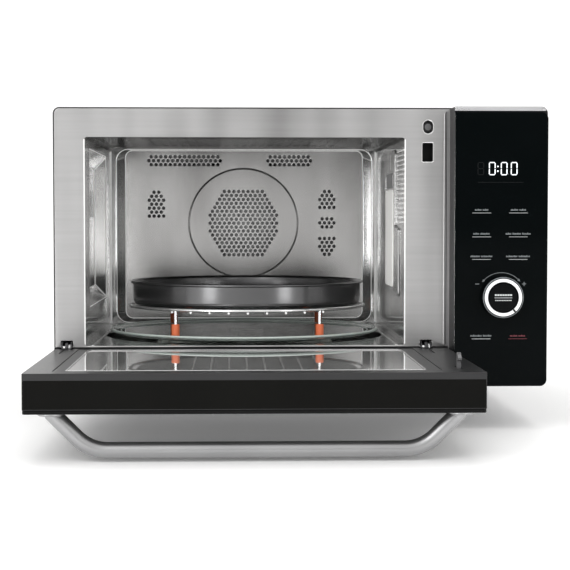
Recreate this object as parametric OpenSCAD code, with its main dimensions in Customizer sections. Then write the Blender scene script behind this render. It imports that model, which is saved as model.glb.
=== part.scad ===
// Combination microwave oven with a drop-down door, shown with its door open.
// The turntable carries a wire rack and a round baking pan.

/* [Body] */
// Width of the cabinet
body_w = 520; // [516:1:540]
// Height of the cabinet without its feet
body_h = 294; // [292:1:310]
// Depth from the front frame to the rear panel
body_d = 440; // [438:1:470]
// Thickness of the pressed sheet metal
sheet_t = 0.8; // [0.7:0.1:1]
// Radius of the cabinet's upper corners
corner_r = 7; // [4:0.5:10]
// Height of the feet, which keeps the open door's handle off the table
foot_h = 45; // [44:1:60]

/* [Cavity] */
// Width of the oven cavity
cavity_w = 342; // [330:1:344]
// Depth of the oven cavity
cavity_d = 344; // [340:1:350]
// Centre of the cavity, measured from the middle of the cabinet
cavity_x = -56.5; // [-60:0.5:-54]
// Height of the cavity's front sill
sill_z = 40; // [40:0.5:41]
// Height of the top of the front opening
mouth_top_z = 262.4; // [258:0.1:264]
// Height of the cavity's ceiling
ceiling_z = 266; // [265:0.5:268]

/* [Back wall] */
// Diameter of one air hole
air_hole_d = 4.4; // [3.6:0.1:4.6]
// Distance between neighbouring air holes in a row
air_pitch = 6.15; // [6:0.05:6.3]
// Distance between rows of air holes
air_row = 5.14; // [5:0.02:5.3]
// Height of the convection fan's axis
fan_z = 170; // [168:1:172]
// Radius of the pressed circle round the fan's air holes
emboss_r = 70.8; // [68:0.1:73]

/* [Turntable] */
// Diameter of the glass turntable
plate_d = 315; // [300:1:318]
// Distance from the front frame to the turntable's axis
plate_y = 175; // [172:1:178]
// Radius of one roller
roller_r = 6.7; // [6.5:0.1:6.8]
// Radius of the circle that the rollers run on
roller_ring_r = 108; // [100:1:115]

/* [Rack and pan] */
// Sideways distance from the rack's middle to a front leg
leg_x = 80; // [70:1:85]
// Distance along the depth from the rack's middle to a front leg
leg_y = 112; // [100:1:114]
// Sideways distance from the rack's middle to a rear leg
rear_leg_x = 90.5; // [80:0.5:95]
// Height of the rack above the turntable
rack_h = 29.5; // [24:0.5:32]
// Sideways distance from the turntable's axis to the rack's middle
rack_x = 3; // [0:0.5:4]
// Thickness of the rack's wire
wire_d = 4; // [3.5:0.1:4.5]
// Diameter of the pan's rolled rim
pan_d = 274.5; // [260:0.5:276]
// Height of the pan
pan_h = 29; // [24:1:34]

/* [Door] */
// Distance from the hinge axis to the door's free edge
door_reach = 255; // [254:0.5:255]
// Distance from the hinge axis to the door's lower edge
door_tail = 36; // [34:0.5:36]
// Thickness of the door
door_t = 37; // [36:0.5:37]
// Height of the hinge axis above the cabinet's lower edge
hinge_z = 38.2; // [38:0.1:38.3]

/* [Handle] */
// Diameter of the handle bar
bar_d = 15; // [13:0.5:16]
// Distance from the hinge axis to the bar
bar_v = 236; // [220:1:240]
// Distance from the door's outer face to the bar's centre
bar_out = 35; // [32:0.5:35]
// Distance between the handle's two ends
handle_span = 374; // [340:1:376]

/* [Control panel] */
// Left edge of the control panel
panel_x = 162; // [161.5:0.5:163]
// Radius of the dial
dial_r = 21.5; // [20:0.5:23]
// Height of the dial's axis
dial_z = 94; // [90:1:98]
// How far the dial stands out of the glass
dial_out = 13; // [10:0.5:15]

/* [Hidden] */
$fn = 64;
slack = 0.3;
fit = 0.05;
gland_out = 6;
rear_reach = body_d + gland_out;
front_y = (door_reach - rear_reach) / 2;

cavity_x0 = cavity_x - cavity_w / 2;
cavity_x1 = cavity_x + cavity_w / 2;
cavity_y1 = sheet_t + cavity_d;
recess_d = 41;
well_r = 164;
pocket_d = 11;
pocket_y = [50, 265];
pocket_z = [79, 252.5];
pocket_run = 32;
frame_w = body_w - 2.4;
frame_z0 = hinge_z + 0.6;
frame_z1 = body_h - 1.2;

floor_z = 27;
glass_z = floor_z + 2 * (roller_r + slack);
glass_t = 4;
plate_top = glass_z + glass_t;
coupler_r = 14;
shaft_r = 3.5;
rack_z = plate_top + slack;
rack_top = rack_z + rack_h;
rack_r = sqrt(leg_x * leg_x + leg_y * leg_y);
leg_d = wire_d - 0.4;
rear_leg_y = sqrt(rack_r * rack_r - rear_leg_x * rear_leg_x);
legs = [[-leg_x, -leg_y], [leg_x, -leg_y], [-rear_leg_x, rear_leg_y], [rear_leg_x, rear_leg_y]];
wire_drop = 2.7;
pan_z = rack_top - wire_drop + (wire_d - 1) / 2 + slack;
pan_bend = 9;
pan_t = 1.5;

fan_r = 66;
duct_y = cavity_y1 + sheet_t;
duct_depth = 42;
duct_half_w = 140;
duct_z0 = 80;
duct_z1 = 262;
heater_r = 3.2;
heater_z = 83.2;

grill_ys = [115, 155, 195, 235];
grill_x0 = -145;
grill_x1 = 34;

door_x0 = -body_w / 2 + 1.6;
door_x1 = panel_x - 2.2;
inner_w = 0.4;
outer_w = inner_w + door_t;
outer_glass_t = 4;
bezel_open = [-233.5, 4, 122, 236];
glass_edge = [-221, 15.5, 107, 224.5];
hinge_xs = [-246.5, 137];
hinge_pin_r = 2.5;
arm_t = 3;
cheek_gap = 8.4;
cheek_t = 1.5;

bend_r = 40;
leg_drop = bar_out - bend_r * (1 - cos(45));
bar_half = handle_span / 2 - bend_r * sin(45) - leg_drop;
handle_x = cavity_x + 8.5;

hook_x = 141;
hook_v = 208.5;
hook_w = 8;
hook_t = 3.5;
slot_z = [236, 257.4];
plunger_x = 138.8;
plunger_z = 273.7;
plunger_r = 5;

panel_x1 = body_w / 2;
panel_top = body_h - 1;
trim_h = 6;
panel_glass_t = 3.5;
dial_x = 211.5;
dial_shaft_r = 5;
cap_r = 15.6;
cap_stem_r = 2.5;
board_y = -26.4;

cool_x = 190;
cool_z = 165;
cool_r = 42;
foot_xs = [-185, 185];
foot_ys = [108, 400];
foot_r = 20;

// Places the oven so that its feet stand at height 0 and its front frame faces -Y.
module oven() translate([0, front_y, foot_h]) children();

// Door frame of reference: +Y runs from the hinge to the free edge, +Z points out of the oven.
module on_door() oven() translate([0, 0, hinge_z]) rotate([180, 0, 0]) children();

// Turntable frame of reference, with the vertical axis at the origin.
module on_axis() oven() translate([cavity_x, plate_y, 0]) children();

// Rack frame of reference, a little to the side of the turntable's axis.
module on_rack() on_axis() translate([rack_x, 0, 0]) children();

// A flat outline in width and height, as a sheet of thickness t from depth y.
module upright(y, t) translate([0, y + t, 0]) rotate([90, 0, 0]) linear_extrude(t) children();

// A flat outline in depth and height, as a sheet of thickness t from x.
module sideways(x, t) translate([x, 0, 0]) rotate([90, 0, 90]) linear_extrude(t) children();

// A round bar along the depth.
module rod_y(x, y, z, r, l) translate([x, y, z]) rotate([-90, 0, 0]) cylinder(r = r, h = l);

// A round bar along the width.
module rod_x(x, y, z, r, l) translate([x, y, z]) rotate([0, 90, 0]) cylinder(r = r, h = l);

// A block between two corners.
module block(a, b) translate(a) cube(b - a);

// Rounded rectangle between two corners.
module rounded(x0, z0, x1, z1, r) {
    translate([x0 + r, z0]) square([x1 - x0 - 2 * r, z1 - z0]);
    translate([x0, z0 + r]) square([x1 - x0, z1 - z0 - 2 * r]);
    for (x = [x0 + r, x1 - r], z = [z0 + r, z1 - r])
        translate([x, z]) circle(r = r);
}

// Cabinet outline: square below, rounded above.
module arch(half_w, z0, z1, r) {
    translate([-half_w, z0]) square([2 * half_w, z1 - z0 - r]);
    translate([-half_w + r, z0]) square([2 * (half_w - r), z1 - z0]);
    for (s = [-1, 1])
        translate([s * (half_w - r), z1 - r]) circle(r = r);
}

// Staggered rows of air holes, one count for each row from the top.
module air_rows(counts, x, z_top, pitch = air_pitch, row = air_row, d = air_hole_d)
    for (i = [0 : len(counts) - 1], j = [0 : counts[i] - 1])
        translate([x + (j - (counts[i] - 1) / 2) * pitch, z_top - i * row])
            circle(d = d);

// A row of upright ventilation slots.
module slot_row(x0, z0, n, step, w, h)
    for (i = [0 : n - 1])
        translate([x0 + i * step, z0]) rounded(0, 0, w, h, w / 2 - 0.01);

// ---- Cabinet ----

module cabinet_wrapper() color("#1d1e20") oven() difference() {
    upright(0.2, body_d - 1.4) difference() {
        arch(body_w / 2, 0, body_h, corner_r);
        arch(body_w / 2 - sheet_t, -1, body_h - sheet_t, corner_r - sheet_t);
    }
    sideways(body_w / 2 - 2, 4) {
        slot_row(250, 50, 16, 9, 4, 34);
        slot_row(250, 96, 16, 9, 4, 34);
    }
    sideways(-body_w / 2 - 2, 4) slot_row(330, 215, 9, 9, 4, 40);
}

module rear_panel() color("#26272a") oven() difference() {
    upright(body_d - sheet_t, sheet_t) difference() {
        arch(body_w / 2, 0, body_h, corner_r);
        for (r = [8 : 8 : 40])
            for (a = [0 : 360 / (r / 8 * 6) : 359])
                translate([cool_x + r * cos(a), cool_z + r * sin(a)]) circle(d = 5);
        slot_row(-200, 225, 12, 10, 4.5, 36);
        slot_row(-40, 225, 12, 10, 4.5, 36);
        translate([215, 40]) circle(r = 9);
    }
    for (x = [-248, 248], z = [30, 150, 270])
        rod_y(x, body_d - 3, z, 2.1, 6);
}

module base_plate() color("#8d9093") oven() difference() {
    union() {
        block([-frame_w / 2, recess_d, 0], [frame_w / 2, body_d - sheet_t, sheet_t]);
        block([-frame_w / 2, recess_d, sheet_t], [panel_x, recess_d + sheet_t, 25]);
        block([panel_x - 1, sheet_t, 0], [frame_w / 2, recess_d, sheet_t]);
        block([panel_x - 1, sheet_t, sheet_t], [panel_x, recess_d, frame_z0 - 1]);
    }
    for (x = foot_xs, y = foot_ys)
        translate([x, y, -1]) cylinder(r = 2.1, h = 4);
    for (i = [0 : 11])
        block([150 + i * 7, 290, -1], [153 + i * 7, 350, 3]);
}

module front_frame() color("#c3c6c8") oven() difference() {
    union() {
        upright(0, sheet_t) difference() {
            arch(frame_w / 2, 0, frame_z1, corner_r - 1.2);
            translate([-frame_w, -1]) square([frame_w + panel_x - 1, frame_z0 + 1]);
            rounded(cavity_x0, sill_z, cavity_x1, mouth_top_z, 5);
            rounded(132, slot_z[0], 144.8, slot_z[1], 2);
            rounded(132.8, 266, 144.8, 281.4, 5.99);
            rounded(178, 20, 246, 274, 6);
            for (x = hinge_xs)
                translate([x - 6.4, frame_z0 - 1]) square([12.8, 8.2]);
        }
        upright(sheet_t, 9) difference() {
            arch(frame_w / 2, 46, frame_z1, corner_r - 1.2);
            arch(frame_w / 2 - sheet_t, 45, frame_z1 - sheet_t, corner_r - 2.2);
        }
    }
}

// ---- Cavity ----

module cavity_liner() color("#b4b7ba") oven() difference() {
    union() {
        block([cavity_x0 - sheet_t, sheet_t, sill_z - sheet_t],
            [cavity_x1 + sheet_t, duct_y, ceiling_z + sheet_t]);
        well(sheet_t);
        pocket(sheet_t);
    }
    block([cavity_x0, 0, sill_z], [cavity_x1, duct_y + 1, ceiling_z]);
    well(0);
    pocket(0);
    block([cavity_x1 - 1, 120, 106], [cavity_x1 + 2, 183, 201]);
    sideways(cavity_x1 - 1, 3)
        air_rows([for (i = [0 : 15]) 13 - i % 2], 46, 249.5, d = 3.4);
    block([-170, 95, ceiling_z - 1], [57, 255, ceiling_z + 2]);
    translate([cavity_x, plate_y, floor_z - 2]) cylinder(r = 7, h = 3);
}

// The floor's round well for the turntable, cut short at the front and t larger all round.
module well(t) intersection() {
    translate([cavity_x, plate_y, floor_z - t])
        cylinder(r = well_r + t, h = sill_z - floor_z + 1, $fn = 128);
    block([cavity_x0, recess_d + sheet_t - t, 0], [cavity_x1, duct_y, sill_z + 1]);
}

// The left wall's pressed recess with slanted sides, t larger all round.
module pocket(t) intersection() {
    translate([0, 0, pocket_z[0] - t]) linear_extrude(pocket_z[1] - pocket_z[0] + 2 * t)
        pocket_slope(pocket_y, pocket_run, t);
    translate([0, pocket_y[1] + t, 0]) rotate([90, 0, 0])
        linear_extrude(pocket_y[1] - pocket_y[0] + 2 * t) pocket_slope(pocket_z, pocket_run / 2, t);
}

// The recess's profile between the two values of span, narrower by run at its floor.
module pocket_slope(span, run, t) polygon([
    [cavity_x0 + 1, span[0] - t], [cavity_x0, span[0] - t], [cavity_x0 - pocket_d - t, span[0] + run - t],
    [cavity_x0 - pocket_d - t, span[1] - run + t], [cavity_x0, span[1] + t], [cavity_x0 + 1, span[1] + t]]);

module cavity_back_wall() color("#a9acaf") oven() {
    upright(cavity_y1, sheet_t) difference() {
        translate([cavity_x0, sill_z]) square([cavity_w, ceiling_z - sill_z]);
        air_rows([9, 10, 11, 12, 13, 14, 15, 14, 15, 14, 15, 14, 13, 12, 11, 10, 9],
            cavity_x, fan_z + 8 * air_row);
        air_rows([15, 16, 15], cavity_x - 76, 256);
        air_rows([9, 10, 9], cavity_x + 59.5, 256);
        air_rows([2, 3, 4, 3, 4, 3, 4], cavity_x - 112.5, 210);
        air_rows([2, 3, 4, 3, 4], cavity_x + 108.5, 211);
        air_rows([3, 4, 3], cavity_x + 108.5, 175.5);
        air_rows([4, 3, 4, 3, 2], cavity_x + 108.5, 150);
        air_rows([15, 16, 15], cavity_x - 76, 96);
        air_rows([14, 15, 14], cavity_x + 76, 96);
    }
    upright(cavity_y1 - 1.5, 1.5) {
        difference() {
            translate([cavity_x, fan_z]) circle(r = emboss_r + 2);
            translate([cavity_x, fan_z]) circle(r = emboss_r - 2);
        }
        difference() {
            rounded(cavity_x0 + 1, sill_z + 1, cavity_x1 - 1, ceiling_z - 1, 12);
            rounded(cavity_x0 + 14, sill_z + 12, cavity_x1 - 14, ceiling_z - 3, 12);
        }
    }
}

module convection_duct() color("#8b8e91") oven() difference() {
    block([cavity_x - duct_half_w, duct_y, duct_z0],
        [cavity_x + duct_half_w, duct_y + duct_depth, duct_z1]);
    block([cavity_x - duct_half_w + sheet_t, duct_y - 1, duct_z0 + sheet_t],
        [cavity_x + duct_half_w - sheet_t, duct_y + duct_depth - sheet_t, duct_z1 - sheet_t]);
    rod_y(cavity_x, duct_y + duct_depth - 3, fan_z, 6, 6);
    for (s = [-1, 1])
        rod_y(cavity_x + s * 12, duct_y + duct_depth - 3, fan_z + heater_z, heater_r + fit, 6);
}

module convection_heater() color("#5c5f62") oven() {
    translate([cavity_x, duct_y + 22, fan_z]) rotate([90, 0, 0]) difference() {
        rotate_extrude() translate([84, 0]) circle(r = heater_r);
        block([-10, 70, -5], [10, 95, 5]);
    }
    for (s = [-1, 1])
        rod_y(cavity_x + s * 12, duct_y + 22, fan_z + heater_z, heater_r, 34);
}

module convection_motor() color("#6f7377") oven() difference() {
    union() {
        rod_y(cavity_x, duct_y + duct_depth, fan_z, 14, 5);
        rod_y(cavity_x, duct_y + duct_depth + 5, fan_z, 31, 32);
        block([cavity_x - 45, duct_y + duct_depth, fan_z - 8],
            [cavity_x + 45, duct_y + duct_depth + 2, fan_z + 8]);
    }
    rod_y(cavity_x, duct_y + duct_depth - 1, fan_z, 3 + fit, 22);
}

module convection_fan() color("#9a9da0") oven() {
    rod_y(cavity_x, duct_y + 8, fan_z, 3, 54);
    rod_y(cavity_x, duct_y + 8, fan_z, 8, 12);
    rod_y(cavity_x, duct_y + 30, fan_z, fan_r, 1.2);
    rod_y(cavity_x, duct_y + 18, fan_z, 8, 13);
    for (a = [0 : 30 : 359])
        translate([cavity_x, duct_y + 12, fan_z]) rotate([0, a, 0])
            translate([26, 0, -0.6]) cube([fan_r - 28, 18.5, 1.2]);
}

module grill_reflector() color("#9fa2a5") oven() difference() {
    block([-174, 91, ceiling_z + sheet_t], [61, 259, ceiling_z + 19]);
    block([-173, 92, ceiling_z], [60, 258, ceiling_z + 18]);
    for (y = [grill_ys[0], grill_ys[3]])
        rod_x(55, y, ceiling_z + 9, 3.6, 10);
}

module grill_heater() color("#3c3e40") oven() translate([0, 0, ceiling_z + 9]) {
    for (y = grill_ys)
        rod_x(grill_x0 - 0.5, y, 0, 3.3, grill_x1 - grill_x0 + 1);
    for (y = [grill_ys[0], grill_ys[3]])
        rod_x(grill_x0, y, 0, 3.3, 72 - grill_x0);
    for (i = [0, 2])
        translate([grill_x0, grill_ys[i] + 20, 0]) rotate([0, 0, 90]) half_turn();
    translate([grill_x1, grill_ys[1] + 20, 0]) rotate([0, 0, -90]) half_turn();
}

// Half a ring of heater tube, a hair thicker than the straight runs.
module half_turn() rotate_extrude(angle = 180) translate([20, 0]) circle(r = 3.4);

module grill_guard() color("#a2a5a8") oven() difference() {
    block([-172, 93, ceiling_z - 0.8], [59, 257, ceiling_z]);
    for (i = [0 : 20])
        block([-165 + i * 10.6, 100, ceiling_z - 2], [-159 + i * 10.6, 250, ceiling_z + 2]);
}

module mica_cover() color("#e9e2cf") oven()
    sideways(cavity_x1 - 0.8, 0.8) rounded(112, 98, 191, 209, 4);

// ---- Microwave generator and cooling ----

module waveguide() color("#8f9295") oven() difference() {
    block([cavity_x1 + sheet_t, 105, 92], [cavity_x1 + 21, 198, 215]);
    block([cavity_x1, 106, 93], [cavity_x1 + 20, 197, 214]);
    rod_x(cavity_x1 + 18, 151, 153, 11, 6);
}

module magnetron() color("#7c8084") oven() {
    rod_x(cavity_x1 + 8, 151, 153, 8, 14);
    block([cavity_x1 + 21, 112, 118], [cavity_x1 + 23, 190, 188]);
    rod_x(cavity_x1 + 22, 151, 153, 20, 60);
    for (i = [0 : 7])
        block([cavity_x1 + 32 + i * 5, 118, 126], [cavity_x1 + 33 + i * 5, 184, 180]);
    for (z = [122, 182])
        block([cavity_x1 + 23, 116, z], [cavity_x1 + 76, 186, z + 2.5]);
    block([cavity_x1 + 76, 116, 122], [cavity_x1 + 100, 186, 184.5]);
}

module transformer_core() color("#6a6d70") oven() translate([150, 122, sheet_t]) difference() {
    cube([90, 50, 70]);
    for (x = [14, 58])
        block([x, -1, 14], [x + 18, 51, 56]);
}

module transformer_coils() color("#a8572c") oven() translate([150, 122, sheet_t]) difference() {
    block([14.5, -12, 14.5], [75.5, 62, 55.5]);
    block([31.9, 0, 10], [58.1, 50, 60]);
}

module hv_capacitor() color("#b9bcbe") oven() translate([0, 0, sheet_t]) {
    translate([150, 205, 0]) linear_extrude(72) rounded(0, 0, 52, 32, 15.9);
    for (x = [166, 186])
        block([x - 1, 217, 72], [x + 1, 225, 82]);
}

module fan_shroud() color("#2e3033") oven() difference() {
    union() {
        upright(404, 2) rounded(135, 110, 245, 220, 4);
        rod_y(cool_x, 386, cool_z, cool_r + 4, 18);
        block([135, 386, sheet_t], [137, 406, 112]);
        block([243, 386, sheet_t], [245, 406, 112]);
    }
    rod_y(cool_x, 380, cool_z, cool_r + 2, 40);
}

module cooling_motor() color("#6d7175") oven() difference() {
    union() {
        rod_y(cool_x, 409, cool_z, 19, 26);
        upright(406, 3) {
            translate([cool_x - 50, cool_z - 6]) square([100, 12]);
            translate([cool_x - 6, cool_z - 50]) square([12, 100]);
        }
    }
    rod_y(cool_x, 400, cool_z, 2.5 + fit, 24);
}

module cooling_fan() color("#d8dadb") oven() {
    rod_y(cool_x, 388, cool_z, 2.5, 30);
    rod_y(cool_x, 388, cool_z, 12, 14);
    for (a = [0 : 72 : 359])
        translate([cool_x, 395, cool_z]) rotate([0, a, 0]) translate([10, 0, 0])
            rotate([35, 0, 0]) translate([0, -8, -0.8]) cube([cool_r - 11.5, 16, 1.6]);
}

module oven_lamp() color("#f3ead0") oven() translate([cavity_x1 + 16, 55, 218]) rotate([0, 90, 0])
    rotate_extrude()
        polygon([[0, -11], [6, -10], [9.5, -6], [9.5, 3], [6, 8], [6, 17], [0, 17]]);

module lamp_bracket() color("#a0a3a6") oven() difference() {
    block([cavity_x1 + sheet_t, 36, 196], [cavity_x1 + 28, 74, 240]);
    block([cavity_x1, 37, 197], [cavity_x1 + 27, 73, 239]);
    rod_x(cavity_x1 + 20, 55, 218, 6, 20);
}

module cord_gland() color("#161616") oven() difference() {
    union() {
        rod_y(215, body_d, 40, 13, 2.5);
        rod_y(215, body_d - 8, 40, 8.9, 10);
        rod_y(215, body_d, 40, 8, gland_out);
        rod_y(215, body_d - 8, 40, 12, 7);
    }
    rod_y(215, body_d - 10, 40, 3.7, 20);
}

// ---- Turntable ----

module turntable_motor() color("#b7babc") on_axis() difference() {
    union() {
        translate([0, 0, 8]) cylinder(r = 25, h = floor_z - sheet_t - 8);
        translate([0, 0, floor_z - sheet_t - 2]) linear_extrude(2) rounded(-33, -7, 33, 7, 6.9);
    }
    translate([0, 0, 12]) cylinder(r = shaft_r + fit, h = 20);
}

module turntable_coupler() color("#e6e6e2") on_axis() {
    translate([0, 0, 13]) cylinder(r = shaft_r, h = glass_z - 13);
    translate([0, 0, floor_z + 2]) cylinder(r = coupler_r, h = glass_z - floor_z - 2);
    for (a = [0, 120, 240])
        rotate([0, 0, a]) block([8, -3.5, glass_z - 6], [22, 3.5, glass_z]);
}

module turntable_glass() color([0.75, 0.85, 0.85, 0.5]) on_axis() rotate_extrude($fn = 128) {
    translate([0, glass_z]) square([plate_d / 2 - 6, glass_t]);
    translate([plate_d / 2 - 6, glass_z + 1]) square([4, glass_t]);
    translate([plate_d / 2 - 3, glass_z + glass_t]) circle(r = 3, $fn = 32);
}

module roller_ring() color("#dfe0dc") on_axis() translate([0, 0, floor_z + roller_r + slack]) difference() {
    union() {
        difference() {
            translate([0, 0, -2]) cylinder(r = roller_ring_r - 6, h = 4);
            translate([0, 0, -3]) cylinder(r = roller_ring_r - 16, h = 6);
        }
        for (a = [90, 210, 330])
            rotate([0, 0, a]) rod_x(roller_ring_r - 8, 0, 0, 1.8, 15);
    }
}

// One roller of the ring, at angle a about the turntable's axis.
module roller(a) color("#efefec") on_axis() rotate([0, 0, a])
    translate([roller_ring_r, 0, floor_z + roller_r + slack]) rotate([0, 90, 0]) difference() {
        translate([0, 0, -4]) cylinder(r = roller_r, h = 8);
        translate([0, 0, -5]) cylinder(r = 1.8 + fit, h = 10);
    }

module roller_1() roller(90);

module roller_2() roller(210);

module roller_3() roller(330);

module wire_rack() color("#c9cbcc") on_rack() {
    translate([0, 0, rack_top]) rotate_extrude() translate([rack_r, 0]) circle(d = wire_d, $fn = 32);
    for (i = [-4 : 4])
        translate([i * 21, 0, rack_top - wire_drop]) rotate([90, 0, 0])
            cylinder(d = wire_d - 1, h = 2 * sqrt(pow(rack_r, 2) - pow(i * 21, 2)) + 3, center = true);
    for (leg = legs)
        translate([leg[0], leg[1], rack_z + 2.1]) cylinder(d = leg_d, h = rack_h - 2.6);
}

module rack_sleeves() color("#e0713f") on_rack()
    for (leg = legs)
        translate([leg[0], leg[1], rack_z]) difference() {
            cylinder(d = 9, h = 13.6);
            translate([0, 0, 2]) cylinder(d = leg_d, h = 13);
        }

module baking_pan() color("#4a4b4d") on_rack() translate([0, 0, pan_z]) {
    rotate_extrude($fn = 128) difference() {
        pan_profile(pan_d / 2 - 5, pan_bend);
        translate([0, pan_t]) pan_profile(pan_d / 2 - 5 - pan_t, pan_bend - pan_t);
    }
    rotate_extrude($fn = 128) translate([pan_d / 2 - 3, pan_h - 2]) circle(r = 3, $fn = 24);
}

// Half of the pan's section: a flat bottom, a rounded edge of radius b and an upright wall.
module pan_profile(r, b) {
    square([r - b, pan_h - 2]);
    translate([0, b]) square([r, pan_h - 2 - b]);
    translate([r - b, b]) circle(r = b);
}

// ---- Door hinges ----

module hinge_brackets() color("#4b4d50") oven()
    for (x = hinge_xs, s = [-1, 1])
        sideways(x + s * (cheek_gap / 2 + cheek_t / 2) - cheek_t / 2, cheek_t) difference() {
            union() {
                translate([0, hinge_z]) circle(r = 5);
                translate([0, frame_z0 + 0.4]) square([36, 5.8]);
            }
            translate([0, hinge_z]) circle(r = hinge_pin_r);
        }

module hinge_pins() color("#b5b8ba") oven()
    for (x = hinge_xs)
        rod_x(x - cheek_gap / 2 - cheek_t, 0, hinge_z, hinge_pin_r, cheek_gap + 2 * cheek_t);

module hinge_springs() color("#85888b") oven()
    for (x = hinge_xs, i = [0, 1])
        translate([x + 2.4 + i * 1.15, 0, hinge_z]) rotate([0, 90, 0])
            rotate_extrude($fn = 32) translate([4, 0]) circle(r = 0.5, $fn = 16);

module hinge_arms() color("#3a3c3e") on_door()
    for (x = hinge_xs)
        sideways(x - arm_t / 2, arm_t) difference() {
            union() {
                circle(r = 6);
                translate([0, 1]) square([62, 9]);
            }
            circle(r = hinge_pin_r + fit);
        }

// ---- Door ----

module door_bezel() color("#1c1c1d") on_door() difference() {
    block([door_x0, -door_tail, inner_w], [door_x1, door_reach, outer_w - outer_glass_t]);
    block([bezel_open[0], bezel_open[1], -1], [bezel_open[2], bezel_open[3], door_t]);
    translate([door_x0 - 1, door_reach, 0]) rotate([25, 0, 0]) translate([0, -12, -10])
        cube([door_x1 - door_x0 + 2, 30, 10]);
    for (x = hinge_xs) {
        block([x - 7, -door_tail - 1, -1], [x + 7, 12, 14]);
        block([x - arm_t / 2 - 0.3, 0, -1], [x + arm_t / 2 + 0.3, 62.3, 10.3]);
    }
    block([hook_x - hook_t / 2 - 1, 199, -1], [hook_x + hook_t / 2 + 1, 222, 22]);
    rod_x(hook_x - 8, hook_v, hook_w, 2, 16);
    handle_holes();
}

// Screw holes for the handle, through the door's outer side.
module handle_holes()
    for (s = [-1, 1])
        translate([handle_x + s * handle_span / 2, bar_v, outer_w - 14])
            cylinder(r = 2.5, h = 24);

module outer_glass() color("#0c0c0d") on_door() difference() {
    translate([0, 0, outer_w - outer_glass_t]) linear_extrude(outer_glass_t)
        rounded(door_x0, -door_tail, door_x1, door_reach, 3);
    handle_holes();
}

module inner_glass() color([0.1, 0.1, 0.11, 0.6]) on_door()
    translate([0, 0, inner_w + 0.5]) linear_extrude(4)
        rounded(glass_edge[0], glass_edge[1], glass_edge[2], glass_edge[3], 3);

module glass_trim() color("#d5d7d8") on_door() translate([0, 0, inner_w + 0.3]) linear_extrude(3.4)
    difference() {
        rounded(glass_edge[0] - 2, glass_edge[1] - 2, glass_edge[2] + 2, glass_edge[3] + 2, 4.5);
        rounded(glass_edge[0], glass_edge[1], glass_edge[2], glass_edge[3], 3);
    }

module choke_cover() color("#39393b") on_door() translate([0, 0, inner_w + 0.6]) linear_extrude(3)
    difference() {
        rounded(bezel_open[0], bezel_open[1], bezel_open[2], bezel_open[3], 0.5);
        rounded(glass_edge[0] - 2, glass_edge[1] - 2, glass_edge[2] + 2, glass_edge[3] + 2, 4.5);
    }

module choke_frame() color("#8c8f92") on_door() difference() {
    block([bezel_open[0] + 0.5, bezel_open[1] + 0.5, inner_w + 4.5],
        [bezel_open[2] - 0.5, bezel_open[3] - 0.5, 24]);
    block([-216, 20, -1], [102, 220, 30]);
    difference() {
        block([-231.5, 6, 6.5], [120, 234, 30]);
        block([-217.5, 18.5, 6], [103.5, 221.5, 31]);
    }
}

module door_screen() color("#2a2b2c") on_door() translate([0, 0, 24]) linear_extrude(0.8)
    rounded(bezel_open[0] + 0.5, bezel_open[1] + 0.5, bezel_open[2] - 0.5, bezel_open[3] - 0.5, 2);

// The bends are a hair thicker than the bar, and the bar runs a little way into them.
module handle() color("#c8cacb") on_door() difference() {
    translate([handle_x, bar_v, outer_w]) union() {
        rotate([90, 0, 0]) {
            rod_x(-bar_half - 1, bar_out, 0, bar_d / 2, 2 * bar_half + 2);
            for (s = [0, 1])
                mirror([s, 0, 0]) handle_end();
        }
        for (s = [-1, 1])
            translate([s * handle_span / 2, 0, 0]) cylinder(r = 12, h = 3);
    }
    handle_holes();
}

// One 45 degree bend of the handle and the leg that runs down to the door.
module handle_end() {
    translate([bar_half, bar_out - bend_r, 0]) rotate([0, 0, 45])
        rotate_extrude(angle = 45) translate([bend_r, 0]) circle(r = bar_d / 2 + 0.1);
    difference() {
        translate([bar_half + bend_r * sin(45) - 0.7, leg_drop + 0.7, 0]) rotate([0, 0, -45])
            rod_x(0, 0, 0, bar_d / 2, leg_drop * sqrt(2) + 10);
        block([0, -30, -30], [handle_span, 0.5, 30]);
    }
}

module latch_hook() color("#d8d9d6") on_door() difference() {
    sideways(hook_x - hook_t / 2, hook_t) {
        translate([hook_v, hook_w]) circle(r = 4);
        translate([hook_v - 3, -13]) square([6, 21]);
        polygon([[hook_v, -13.5], [hook_v + 8, -9], [hook_v + 8, -7], [hook_v, -5]]);
    }
    rod_x(hook_x - 10, hook_v, hook_w, 2 + fit, 20);
}

module latch_pin() color("#aeb1b3") on_door() rod_x(hook_x - 8, hook_v, hook_w, 2, 16);

module interlock_bracket() color("#dcdcd6") oven() difference() {
    block([127, sheet_t, 229], [150, 26, 285]);
    block([130.5, 0, 232], [146.5, 22, 262]);
    rod_y(plunger_x, 0, plunger_z, plunger_r + fit, 30);
}

module interlock_switches() color("#2c2d30") oven()
    for (z = [232, 248, 264])
        block([150, 4, z], [160, 24, z + 12]);

module door_plunger() color("#8f9294") oven() rod_y(plunger_x, 0.8, plunger_z, plunger_r, 24);

// ---- Control panel ----

// Outline of the control panel's front, rounded at its outer corners.
module panel_outline(z0, z1, low, high, inset = 0) {
    difference() {
        translate([panel_x + inset, z0 + inset])
            square([panel_x1 - panel_x - 2 * inset, z1 - z0 - 2 * inset]);
        if (low) corner_cut(panel_x1 - inset - corner_r, z0 + inset + corner_r, -1);
        if (high) corner_cut(panel_x1 - inset - corner_r, z1 - inset - corner_r, 1);
    }
}

// Waste outside a rounded corner whose arc centre is at x, z.
module corner_cut(x, z, s) difference() {
    translate([x, s > 0 ? z : z - corner_r - 1]) square([corner_r + 1, corner_r + 1]);
    translate([x, z]) circle(r = corner_r);
}

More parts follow.
